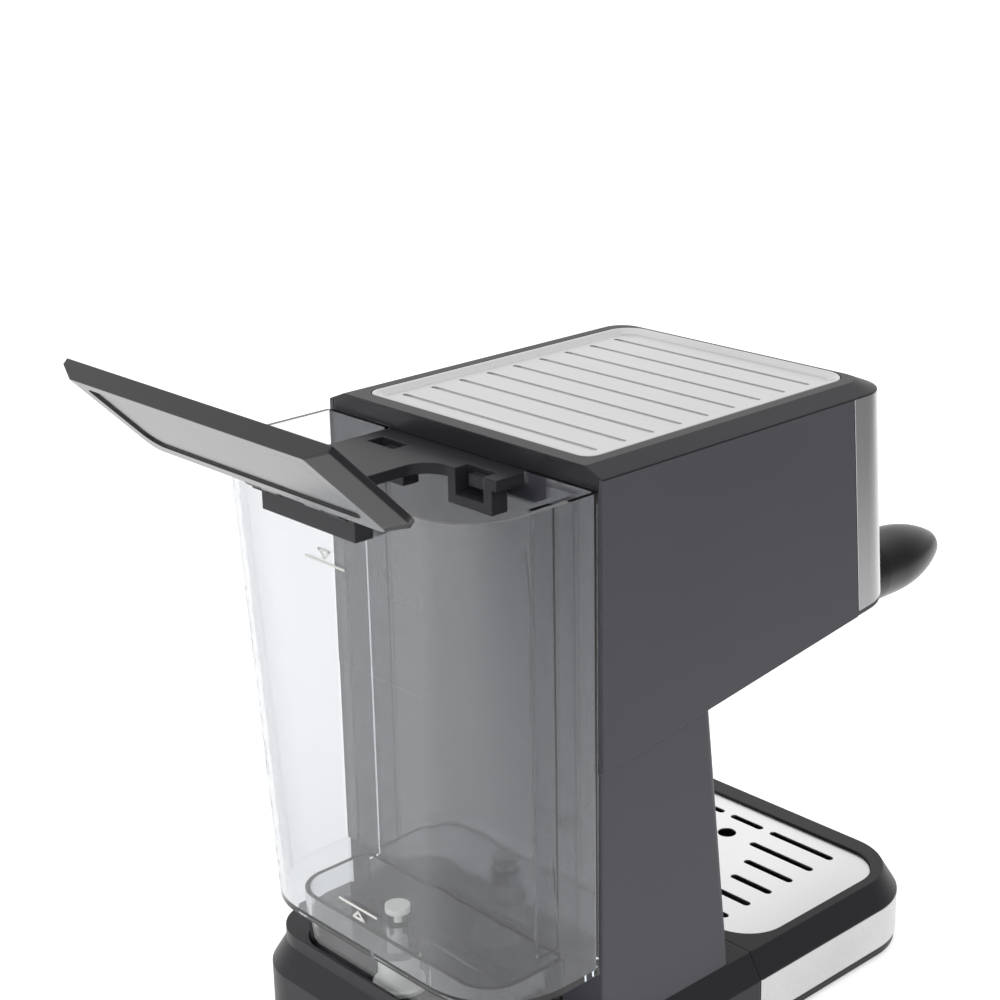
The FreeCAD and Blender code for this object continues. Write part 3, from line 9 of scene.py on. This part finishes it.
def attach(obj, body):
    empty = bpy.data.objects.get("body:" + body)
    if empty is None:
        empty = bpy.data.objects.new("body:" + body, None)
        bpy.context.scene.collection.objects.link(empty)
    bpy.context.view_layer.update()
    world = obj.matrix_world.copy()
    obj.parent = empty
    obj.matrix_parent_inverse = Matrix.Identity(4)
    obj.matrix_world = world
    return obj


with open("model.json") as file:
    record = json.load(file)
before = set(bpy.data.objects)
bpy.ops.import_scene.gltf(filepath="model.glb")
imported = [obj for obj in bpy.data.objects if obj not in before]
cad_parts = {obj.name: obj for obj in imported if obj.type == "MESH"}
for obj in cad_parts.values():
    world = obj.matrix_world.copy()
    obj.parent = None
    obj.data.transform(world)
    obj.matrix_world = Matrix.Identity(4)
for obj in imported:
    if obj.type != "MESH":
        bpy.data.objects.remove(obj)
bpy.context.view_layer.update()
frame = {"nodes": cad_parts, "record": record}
nodes = frame["nodes"]
scene = bpy.context.scene
print("frame loaded:", len(nodes), "CAD nodes")


# a node tree and, once something is made in it, one of its sockets
class Shade:
    def __init__(self, tree, socket=None):
        self.tree = tree
        self.socket = socket

    # any node: its type, its settings, then the values or links of its sockets
    def node(self, kind, settings=None, sockets=None, output=0):
        made = self.tree.nodes.new("ShaderNode" + kind)
        for key, value in (settings or {}).items():
            if key == "stops":
                setStops(made.color_ramp, value)
            else:
                setattr(made, key, value)
        for key, value in (sockets or {}).items():
            self.plug(made.inputs[key], value)
        return Shade(self.tree, made.outputs[output] if made.outputs else None)

    # a link from what a node gives, or else the plain value
    def plug(self, target, value):
        if isinstance(value, Shade):
            self.tree.links.new(value.socket, target)
        else:
            target.default_value = value

    def maths(self, operation, left, right):
        return self.node("Math", {"operation": operation}, {0: left, 1: right})

    def __add__(self, other):
        return self.maths("ADD", self, other)

    __radd__ = __add__

    def __sub__(self, other):
        return self.maths("SUBTRACT", self, other)

    def __rsub__(self, other):
        return self.maths("SUBTRACT", other, self)

    def __mul__(self, other):
        return self.maths("MULTIPLY", self, other)

    __rmul__ = __mul__


def setStops(ramp, stops):
    while len(ramp.elements) < len(stops):
        ramp.elements.new(1.0)
    for element, (position, grey) in zip(ramp.elements, stops):
        element.position = position
        element.color = (grey, grey, grey, 1.0)


# the Mix node's colour sockets have the same names as those of its other data types, so they go by number
mixSockets = {"factor": 0, "first": 6, "second": 7, "result": 2}


def mixColours(shade, factor, first, second):
    sockets = {
        mixSockets["factor"]: factor,
        mixSockets["first"]: rgba(first),
        mixSockets["second"]: rgba(second),
    }
    return shade.node("Mix", {"data_type": "RGBA"}, sockets, mixSockets["result"])


def rgba(colour):
    return colour if isinstance(colour, Shade) else (*colour, 1.0)


def scaled(colour, gain):
    return tuple(part * gain for part in colour)


# an empty material: the shade to build with and its surface shader
def newFinish(name):
    material = bpy.data.materials.new(name)
    material.use_nodes = True
    tree = material.node_tree
    return material, Shade(tree), tree.nodes["Principled BSDF"]


def feed(shade, shader, **sockets):
    for key, value in sockets.items():
        shade.plug(shader.inputs[key.replace("_", " ")], value)


# coordinates of the CAD frame in metres, stretched along each axis
def place(shade, stretch=(1, 1, 1)):
    spot = shade.node("TexCoord", output="Object")
    return shade.node("VectorMath", {"operation": "MULTIPLY"}, {0: spot, 1: stretch})


def dot(shade, first, second):
    return shade.node("VectorMath", {"operation": "DOT_PRODUCT"}, {0: first, 1: second}, "Value")


def noise(shade, scale, detail=2.0, stretch=(1, 1, 1)):
    sockets = {"Vector": place(shade, stretch), "Scale": scale, "Detail": detail}
    return shade.node("TexNoise", sockets=sockets)


# noise as a change to either side of its middle
def swing(field):
    return field - 0.5


def lightPath(shade, name):
    return shade.node("LightPath", output=name)


# edges: the samples of their rounding, and how much painted highlight and rubbed gloss they take by how far
# the rounding turns the face
edges = {"samples": 6, "rubbedAndHighlit": [(0.0, 0.0), (0.25, 1.0)]}


# rounds the look of crisp moulded and folded edges
def softEdge(shade, radius):
    return shade.node("Bevel", {"samples": edges["samples"]}, {"Radius": radius})


# 0 on faces, rising to 1 within a short way of an edge
def edgeMask(shade, rounded):
    facing = dot(shade, rounded, shade.node("NewGeometry", output="Normal"))
    return shade.node("ValToRGB", {"stops": edges["rubbedAndHighlit"]}, {"Fac": 1.0 - facing})


def bump(shade, height, distance, strength, rounded):
    sockets = {"Height": height, "Distance": distance, "Strength": strength, "Normal": rounded}
    return shade.node("Bump", sockets=sockets)


moulded = {
    "drift": 9.0,  # scale of the slow changes of tone
    "driftDetail": 3.0,
    "grainDetail": 1.0,
    "driftTone": 0.6,
    "grainTone": 0.4,
    "darker": 0.84,
    "lighter": 1.16,
    "edgeLightGain": 1.5,
    "edgeLightLift": 0.02,
    "edgeLightShare": 0.5,
    "driftRough": 0.10,
    "grainRough": 0.08,
    "wornRough": 0.06,
    "grainDepth": 0.0002,
}


# moulded plastic with a fine spark-eroded grain, slow changes of tone, a painted highlight that makes the
# edges paler, and edges rubbed glossier
def mouldedPlastic(name, look):
    material, shade, shader = newFinish(name)
    drift = noise(shade, moulded["drift"], moulded["driftDetail"])
    grain = noise(shade, look["grain"], moulded["grainDetail"])
    rounded = softEdge(shade, look["edge"])
    # a mask along the edges, carrying a painted highlight in the colour and rubbed gloss in the roughness
    rubbedAndHighlit = edgeMask(shade, rounded)
    darker = scaled(look["colour"], moulded["darker"])
    lighter = scaled(look["colour"], moulded["lighter"])
    # a paler copy of the colour, painted along the edges as a highlight
    paintedEdgeLight = tuple(part + moulded["edgeLightLift"] for part in scaled(look["colour"], moulded["edgeLightGain"]))
    tone = drift * moulded["driftTone"] + grain * moulded["grainTone"]
    body = mixColours(shade, tone, darker, lighter)
    rough = look["roughness"] + swing(drift) * moulded["driftRough"] + swing(grain) * moulded["grainRough"]
    feed(
        shade,
        shader,
        Base_Color=mixColours(shade, rubbedAndHighlit * moulded["edgeLightShare"], body, paintedEdgeLight),
        Roughness=rough - rubbedAndHighlit * moulded["wornRough"],
        Normal=bump(shade, grain, moulded["grainDepth"], look["relief"], rounded),
        Specular_IOR_Level=look["shine"],
    )
    return material


rolled = {
    "lines": 1.0,  # scale of the brush lines once stretched, and of the broader bands among them
    "bands": 0.22,
    "lineDetail": 4.0,
    "lineTone": 0.35,
    "bandTone": 0.25,
    "cloudTone": 0.4,
    "lineRough": 0.16,
    "cloudRough": 0.06,
    "lineDepth": 0.0001,
}


# rolled sheet with brush lines along one axis
def brushedSheet(name, look):
    material, shade, shader = newFinish(name)
    stretch = [look["across"]] * 3
    stretch["XYZ".index(look["axis"])] = look["along"]
    lines = noise(shade, rolled["lines"], rolled["lineDetail"], stretch)
    bands = noise(shade, rolled["bands"], stretch=stretch)
    cloud = noise(shade, look["cloud"])
    dark = scaled(look["colour"], look["shade"])
    tone = lines * rolled["lineTone"] + bands * rolled["bandTone"] + cloud * rolled["cloudTone"]
    rough = look["roughness"] + swing(lines) * rolled["lineRough"] + swing(cloud) * rolled["cloudRough"]
    feed(
        shade,
        shader,
        Base_Color=mixColours(shade, tone, dark, look["colour"]),
        Metallic=1.0,
        Roughness=rough,
        Normal=bump(shade, lines, rolled["lineDepth"], look["relief"], softEdge(shade, look["edge"])),
    )
    return material


machined = {
    "detail": 3.0,
    "cloud": 25.0,
    "darker": 0.78,
    "pitTone": 0.5,
    "cloudTone": 0.5,
    "cloudRough": 0.2,
    "pitDepth": 0.0002,
    "edge": 0.0003,
}


# cast, turned or plated metal with a fine random texture
def plainMetal(name, look):
    material, shade, shader = newFinish(name)
    pits = noise(shade, look["grain"], machined["detail"])
    cloud = noise(shade, machined["cloud"], machined["detail"])
    dark = scaled(look["colour"], machined["darker"])
    tone = pits * machined["pitTone"] + cloud * machined["cloudTone"]
    feed(
        shade,
        shader,
        Base_Color=mixColours(shade, tone, dark, look["colour"]),
        Metallic=1.0,
        Roughness=look["roughness"] + swing(cloud) * machined["cloudRough"],
        Normal=bump(shade, pits, machined["pitDepth"], look["relief"], softEdge(shade, machined["edge"])),
    )
    return material


# clear moulded tank: polished faces with a faint handling haze, and painted shade where a wall is seen
# edge-on, standing in for light running along the wall
def clearPlastic(name, look):
    material, shade, shader = newFinish(name)
    haze = noise(shade, look["haze"], look["hazeDetail"], look["hazeStretch"])
    # painted shade: the walls turn darker where they are seen edge-on
    facing = shade.node("LayerWeight", sockets={"Blend": look["rim"]}, output="Facing")
    polished = mixColours(shade, haze, look["hazed"], look["colour"])
    feed(
        shade,
        shader,
        Base_Color=mixColours(shade, facing, polished, look["grazingShade"]),
        Roughness=look["roughness"] + haze * look["hazeRough"],
        IOR=look["ior"],
        Transmission_Weight=1.0,
    )
    # shadow rays go straight through, so that the lamps light what is in and behind the tank
    clear = Shade(shade.tree, shader.outputs[0])
    absent = shade.node("BsdfTransparent")
    surface = shade.node("MixShader", sockets={0: lightPath(shade, "Is Shadow Ray"), 1: clear, 2: absent})
    smoke = {"Color": rgba(look["smoke"]), "Density": look["density"]}
    depth = shade.node("VolumeAbsorption", sockets=smoke)
    output = shade.tree.nodes["Material Output"]
    shade.plug(output.inputs["Surface"], surface)
    shade.plug(output.inputs["Volume"], depth)
    return material


# what several looks share: large mouldings, small ones, dull ones and brushed sheet
shellLook = {"grain": 1900, "relief": 0.05, "edge": 0.0008}
smallLook = {"grain": 1500, "relief": 0.05, "edge": 0.0005, "shine": 0.5}
dullLook = {"relief": 0.3, "edge": 0.0006}
sheetLook = {
    "axis": "X",
    "along": 30,
    "across": 2600,
    "cloud": 14.0,
    "shade": 0.80,
    "relief": 0.12,
    "edge": 0.0006,
}
# a finish for each slot of the record but brushed steel, whose pieces each have their own
finishes = {
    "black_plastic": mouldedPlastic(
        "blackMoulding",
        {**shellLook, "colour": (0.021, 0.0205, 0.0240), "roughness": 0.40, "shine": 0.26},
    ),
    "charcoal_plastic": mouldedPlastic(
        "charcoalMoulding",
        {**shellLook, "colour": (0.070, 0.0680, 0.0815), "roughness": 0.46, "grain": 2200, "shine": 0.28},
    ),
    "handle_plastic": mouldedPlastic(
        "handleMoulding",
        {**smallLook, "colour": (0.010, 0.0098, 0.0115), "roughness": 0.27, "grain": 1700, "relief": 0.04},
    ),
    "button_plastic": mouldedPlastic(
        "buttonMoulding",
        {**smallLook, "colour": (0.05, 0.05, 0.055), "roughness": 0.30},
    ),
    "white_plastic": mouldedPlastic(
        "whiteMoulding",
        {**smallLook, "colour": (0.74, 0.74, 0.71), "roughness": 0.38, "relief": 0.06, "edge": 0.0004},
    ),
    "pump_body": mouldedPlastic(
        "pumpCoil",
        {**dullLook, "colour": (0.13, 0.12, 0.11), "roughness": 0.5, "grain": 900, "shine": 0.4},
    ),
    "rubber": mouldedPlastic(
        "rubber",
        {**dullLook, "colour": (0.024, 0.024, 0.024), "roughness": 0.78, "grain": 1200, "shine": 0.3},
    ),
    "hose": mouldedPlastic(
        "siliconeHose",
        {
            "colour": (0.58, 0.56, 0.52),
            "roughness": 0.5,
            "grain": 700,
            "relief": 0.08,
            "edge": 0.0003,
            "shine": 0.4,
        },
    ),
    "board": mouldedPlastic(
        "coatedBoard",
        {
            **smallLook,
            "colour": (0.03, 0.16, 0.07),
            "roughness": 0.35,
            "grain": 800,
            "relief": 0.1,
            "edge": 0.0002,
        },
    ),
    "lens": mouldedPlastic(
        "amberLens",
        {
            **smallLook,
            "colour": (0.75, 0.33, 0.08),
            "roughness": 0.18,
            "grain": 600,
            "relief": 0.03,
            "edge": 0.0003,
        },
    ),
    "sensor": plainMetal(
        "sensorCap",
        {"colour": (0.66, 0.63, 0.56), "roughness": 0.4, "grain": 900, "relief": 0.2},
    ),
    "element_steel": plainMetal(
        "plainSteel",
        {"colour": (0.6, 0.6, 0.6), "roughness": 0.32, "grain": 1200, "relief": 0.1},
    ),
    "screw_steel": plainMetal(
        "platedSteel",
        {"colour": (0.62, 0.62, 0.64), "roughness": 0.25, "grain": 900, "relief": 0.08},
    ),
    "bracket_steel": plainMetal(
        "zincSheet",
        {"colour": (0.55, 0.55, 0.56), "roughness": 0.42, "grain": 500, "relief": 0.15},
    ),
    "boiler_alloy": plainMetal(
        "castAlloy",
        {"colour": (0.58, 0.58, 0.58), "roughness": 0.5, "grain": 700, "relief": 0.4},
    ),
    "group_alloy": plainMetal(
        "polishedCasting",
        {"colour": (0.66, 0.66, 0.67), "roughness": 0.22, "grain": 800, "relief": 0.08},
    ),
    "valve_brass": plainMetal(
        "turnedBrass",
        {"colour": (0.72, 0.53, 0.26), "roughness": 0.3, "grain": 800, "relief": 0.12},
    ),
    "wand_steel": plainMetal(
        "polishedTube",
        {"colour": (0.74, 0.74, 0.75), "roughness": 0.12, "grain": 900, "relief": 0.03},
    ),
    "clear_plastic": clearPlastic(
        "clearTank",
        {
            "colour": (0.975, 0.98, 0.985),
            "hazed": (0.94, 0.947, 0.955),
            "haze": 22.0,
            "hazeDetail": 3.0,
            "hazeStretch": (1, 1, 0.4),
            "hazeRough": 0.012,
            # painted shade for walls seen edge-on
            "grazingShade": (0.30, 0.32, 0.35),
            "rim": 0.25,
            "roughness": 0.0,
            "ior": 1.49,
            "smoke": (0.62, 0.65, 0.68),
            "density": 48.0,
        },
    ),
}
# the steel skins, each rolled and brushed in its own way, and the lid, glossier than its slot
ownFinishes = {
    "cup_plate": brushedSheet(
        "cupPlateSteel",
        {**sheetLook, "colour": (0.77, 0.77, 0.78), "shade": 0.68, "cloud": 9.0, "roughness": 0.24},
    ),
    "drip_grid": brushedSheet(
        "gridSteel",
        {**sheetLook, "colour": (0.96, 0.96, 0.97), "shade": 0.93, "roughness": 0.36},
    ),
    "front_panel": brushedSheet(
        "frontSteel",
        {**sheetLook, "colour": (0.64, 0.64, 0.65), "cloud": 6.0, "roughness": 0.22},
    ),
    "tray_band": brushedSheet(
        "bandSteel",
        {**sheetLook, "colour": (0.75, 0.75, 0.75), "shade": 0.60, "cloud": 30.0, "roughness": 0.28},
    ),
    "tank_lid": mouldedPlastic(
        "lidMoulding",
        {**shellLook, "colour": (0.013, 0.0127, 0.0150), "roughness": 0.16, "shine": 0.5},
    ),
}
for row in frame["record"]["subparts"]:
    slots = nodes[row["node"]].data.materials
    slots.clear()
    slots.append(ownFinishes.get(row["node"]) or finishes[row["material_slot"]])
print("finishes:", len(finishes) + len(ownFinishes))


# strokes: the steps of a round end, each how far out and how wide in half widths, and the narrower top
stroke = {"end": [(1.0, 0.15), (0.7, 0.7)], "top": 0.8}


# one raised stroke with round ends: the path lies on a surface, which turns (u, v, height) into a point
def addStroke(mesh, path, half, proud, surface):
    points = [Vector(point) for point in path]
    first = (points[0] - points[1]).normalized() * half
    final = (points[-1] - points[-2]).normalized() * half
    stations = [(points[0] + first * out, share) for out, share in stroke["end"]]
    stations += [(point, 1.0) for point in points]
    stations += [(points[-1] + final * out, share) for out, share in reversed(stroke["end"])]
    rows = []
    for i, (point, share) in enumerate(stations):
        before = stations[max(i - 1, 0)][0]
        after = stations[min(i + 1, len(stations) - 1)][0]
        along = (after - before).normalized()
        side = Vector((-along.y, along.x)) * half * share
        top = side * stroke["top"]
        corners = [(point - side, 0.0), (point + side, 0.0), (point + top, proud), (point - top, proud)]
        rows.append([mesh.verts.new(surface(spot.x, spot.y, height)) for spot, height in corners])
    for near, far in zip(rows, rows[1:]):
        for j in range(4):
            mesh.faces.new((near[j], near[j - 1], far[j - 1], far[j]))
    mesh.faces.new(rows[0])
    mesh.faces.new(rows[-1])


def makeStrokes(name, body, look, surface):
    mesh = bmesh.new()
    for path in look["paths"]:
        addStroke(mesh, path, look["width"] / 2, look["proud"], surface)
    bmesh.ops.recalc_face_normals(mesh, faces=mesh.faces)
    data = bpy.data.meshes.new(name)
    mesh.to_mesh(data)
    mesh.free()
    piece = bpy.data.objects.new(name, data)
    scene.collection.objects.link(piece)
    data.materials.append(finishes[look["slot"]])
    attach(piece, body)


# clockwise from straight up, in degrees
def arc(radius, first, last, count, middle=(0.0, 0.0)):
    angles = [math.radians(first + (last - first) * i / (count - 1)) for i in range(count)]
    return [(middle[0] + radius * math.sin(a), middle[1] + radius * math.cos(a)) for a in angles]


# level marks moulded on the tank's drawn-in back wall: a line with a pointer to it
tankWall = {
    "rim": 0.300,
    "back": 0.182,
    "drawIn": 0.008 / 0.226,  # inwards for each metre below the rim
}
levelMarks = {
    "slot": "white_plastic",
    "width": 0.0013,
    "proud": 0.0003,
    "half": 0.013,
    "gap": 0.0022,  # from the line to the pointer's tip
    "pointer": 0.0035,
    "marks": [  # name, across, height, and the pointer's side: 1 above the line, -1 below it
        ("levelHigh", 0.004, 0.264, 1),
        ("levelLow", 0.000, 0.097, -1),
    ],
}


def onTankBack(x, z, height):
    return Vector((x, tankWall["back"] - (tankWall["rim"] - z) * tankWall["drawIn"] + height, z))


def makeLevelMarks():
    half = levelMarks["half"]
    size = levelMarks["pointer"]
    for name, x, z, way in levelMarks["marks"]:
        tip = (x, z + levelMarks["gap"] * way)
        arms = [(x - size, tip[1] + size * way), (x + size, tip[1] + size * way)]
        level = [(x - half, z), (x, z), (x + half, z)]
        paths = [level, [arms[0], tip], [arms[1], tip], [arms[0], arms[1]]]
        makeStrokes(name, "tank", {**levelMarks, "paths": paths}, onTankBack)


# symbols on the push buttons and a pointer on the steam knob, all on the leaning panel
panel = {
    "depth": -0.091586,  # of its face at the height of the controls
    "height": 0.276,
    "lean": math.atan2(10.0, 110.2),  # millimetres back over the millimetres of its height
}
# a button's rim and the middle of its dimple's sphere, as depths behind the panel, and the sphere's radius
buttonFace = {"front": -0.0032, "dimpleAt": -0.0164, "dimple": 0.014}
symbols = {
    "power_button": {"x": -0.048, "paths": [arc(0.0030, 38, 322, 21), [(0, 0.0012), (0, 0.0038)]]},
    # a cup with its handle and two wisps
    "coffee_button": {
        "x": -0.022,
        "paths": [
            [
                (-0.0030, 0.0012),
                (-0.0027, -0.0014),
                (-0.0018, -0.0026),
                (0.0008, -0.0026),
                (0.0017, -0.0014),
                (0.0020, 0.0012),
            ],
            [(-0.0030, 0.0012), (0.0020, 0.0012)],
            arc(0.0012, 20, 170, 9, (0.0021, -0.0006)),
            [(-0.0016, 0.0024), (-0.0012, 0.0031), (-0.0016, 0.0038)],
            [(0.0004, 0.0024), (0.0008, 0.0031), (0.0004, 0.0038)],
        ],
    },
    # three waves
    "steam_button": {
        "x": 0.004,
        "paths": [
            [(x + 0.0006 * math.sin(i * math.pi / 4), -0.0030 + 0.0006 * i) for i in range(11)]
            for x in (-0.002, 0.0, 0.002)
        ],
    },
}
symbolLook = {"slot": "white_plastic", "width": 0.0006, "proud": 0.00012}
knobPointer = {
    "slot": "white_plastic",
    "width": 0.0016,
    "proud": 0.0002,
    "paths": [[(0, 0.005), (0, 0.009), (0, 0.0128)]],
    "x": 0.044,
    "out": 0.018,  # the knob's front face
}


# across the panel, out of its face and up it
def onPanel(x, out, up):
    lean = panel["lean"]
    y = panel["depth"] - out * math.cos(lean) + up * math.sin(lean)
    return Vector((x, y, panel["height"] + out * math.sin(lean) + up * math.cos(lean)))


def onKnob(u, v, height):
    return onPanel(knobPointer["x"] + u, knobPointer["out"] + height, v)


def makeSymbols():
    for body, symbol in symbols.items():

        def onButton(u, v, height, x=symbol["x"]):
            r = math.hypot(u, v)
            dish = buttonFace["dimpleAt"] + math.sqrt(buttonFace["dimple"] ** 2 - r * r)
            return onPanel(x + u, height - max(buttonFace["front"], dish), v)

        name = body.replace("_button", "Symbol")
        makeStrokes(name, body, {**symbolLook, "paths": symbol["paths"]}, onButton)
    makeStrokes("knobPointer", "steam_knob", knobPointer, onKnob)


makeLevelMarks()
makeSymbols()
print("marks and symbols made")


# floor, light and camera
studio = {
    "floorHalf": 12.0,
    "floorColour": (0.93, 0.93, 0.93),
    "floorUnlit": (0.05, 0.05, 0.05),  # painted shade, which reflections see towards the unlit end of the room
    "floorRoughness": 0.9,
    "floorShine": 0.1,
    "speck": 60.0,
    "speckShade": 0.985,
    "glow": (0.5, 0.5, 0.5),  # what the floor adds to be white where it is seen
    "skyLight": 0.62,
    "backdropWay": (0.95, 0.31, 0.0),  # from the unlit end of the room to the lit backdrop
    "reflected": [(0.10, 0.2), (0.42, 1.0)],  # how bright it is mirrored, from the unlit end to the lit one
    "tableLit": [(0.0, 1.0), (0.6, 0.0)],  # and the table round the machine, by metres from its middle
    "lamps": [
        {"name": "overhead", "at": (-0.3, 0.4, 2.2), "aim": (0, 0, 0.2), "size": 2.8, "power": 13},
        {"name": "backLeft", "at": (1.0, 1.9, 1.4), "aim": (0, 0.1, 0.2), "size": 1.8, "power": 14},
        {"name": "sideRight", "at": (-2.0, 1.1, 0.9), "aim": (0, 0, 0.2), "size": 2.0, "power": 11},
    ],
}


# how much a reflection sees of the lit end of the studio
def litWay(shade, spot):
    way = dot(shade, spot, studio["backdropWay"])
    return shade.node("ValToRGB", {"stops": studio["reflected"]}, {"Fac": way * 0.5 + 0.5})


# how white the studio shows: all over to the eye and through clear plastic, and as lit in reflections
def seenWhite(shade, lit):
    seen = lightPath(shade, "Is Camera Ray")
    direct = shade.maths("MAXIMUM", seen, lightPath(shade, "Is Transmission Ray"))
    return shade.maths("MAXIMUM", direct, lightPath(shade, "Is Glossy Ray") * lit)


def makeFloor():
    half = studio["floorHalf"]
    corners = [(-half, -half, 0), (half, -half, 0), (half, half, 0), (-half, half, 0)]
    mesh = bpy.data.meshes.new("floor")
    mesh.from_pydata(corners, [], [(0, 1, 2, 3)])
    floor = bpy.data.objects.new("floor", mesh)
    scene.collection.objects.link(floor)
    material, shade, shader = newFinish("paleFloor")
    speck = noise(shade, studio["speck"])
    pale = studio["floorColour"]
    spot = place(shade)
    away = shade.node("VectorMath", {"operation": "LENGTH"}, {0: spot}, "Value")
    near = shade.node("ValToRGB", {"stops": studio["tableLit"]}, {"Fac": away})
    lit = shade.maths("MAXIMUM", near, litWay(shade, spot))
    # painted shade: reflections see the floor painted dark away from the lit side and the machine
    dim = lightPath(shade, "Is Glossy Ray") * (1.0 - lit)
    table = mixColours(shade, speck, scaled(pale, studio["speckShade"]), pale)
    feed(
        shade,
        shader,
        Base_Color=mixColours(shade, dim, table, studio["floorUnlit"]),
        Roughness=studio["floorRoughness"],
        Specular_IOR_Level=studio["floorShine"],
        Emission_Color=mixColours(shade, seenWhite(shade, lit), (0, 0, 0), studio["glow"]),
        Emission_Strength=1.0,
    )
    mesh.materials.append(material)


def makeWorld():
    world = bpy.data.worlds.new("studio")
    scene.world = world
    world.use_nodes = True
    tree = world.node_tree
    tree.nodes.clear()
    shade = Shade(tree)
    white = seenWhite(shade, litWay(shade, shade.node("TexCoord", output="Generated")))
    sky = studio["skyLight"] * (1.0 - lightPath(shade, "Is Glossy Ray"))
    strength = shade.maths("MAXIMUM", white, sky)
    light = shade.node("Background", sockets={"Color": (1, 1, 1, 1), "Strength": strength})
    shade.node("OutputWorld", sockets={"Surface": light})


# a turn that points lamps and cameras, which look down their own -Z
def turnTo(at, aim):
    return (Vector(aim) - Vector(at)).to_track_quat("-Z", "Y")


def makeLamps():
    for lamp in studio["lamps"]:
        data = bpy.data.lights.new(lamp["name"], "AREA")
        data.shape = "DISK"
        data.size = lamp["size"]
        data.energy = lamp["power"]
        holder = bpy.data.objects.new(lamp["name"], data)
        holder.location = lamp["at"]
        holder.rotation_euler = turnTo(lamp["at"], lamp["aim"]).to_euler()
        holder.visible_glossy = False  # metal mirrors the studio alone, so that it stays below white
        scene.collection.objects.link(holder)


photoView = {
    "at": (-0.64110, 0.66888, 0.56497),
    "aim": (0.0, 0.08293, 0.26909),
    "sensor": 36.0,
    "lens": 72.865,
    "roll": -1.146,
    "reach": 60.0,
}


def makeCamera():
    data = bpy.data.cameras.new("photoView")
    data.sensor_fit = "HORIZONTAL"
    data.sensor_width = photoView["sensor"]
    data.lens = photoView["lens"]
    data.clip_end = photoView["reach"]
    camera = bpy.data.objects.new("photoView", data)
    roll = Quaternion((0, 0, 1), math.radians(photoView["roll"]))
    turn = turnTo(photoView["at"], photoView["aim"]) @ roll
    camera.matrix_world = Matrix.Translation(Vector(photoView["at"])) @ turn.to_matrix().to_4x4()
    scene.collection.objects.link(camera)
    scene.camera = camera


makeFloor()
makeWorld()
makeLamps()
makeCamera()
scene.view_settings.view_transform = "Standard"
print("studio set")
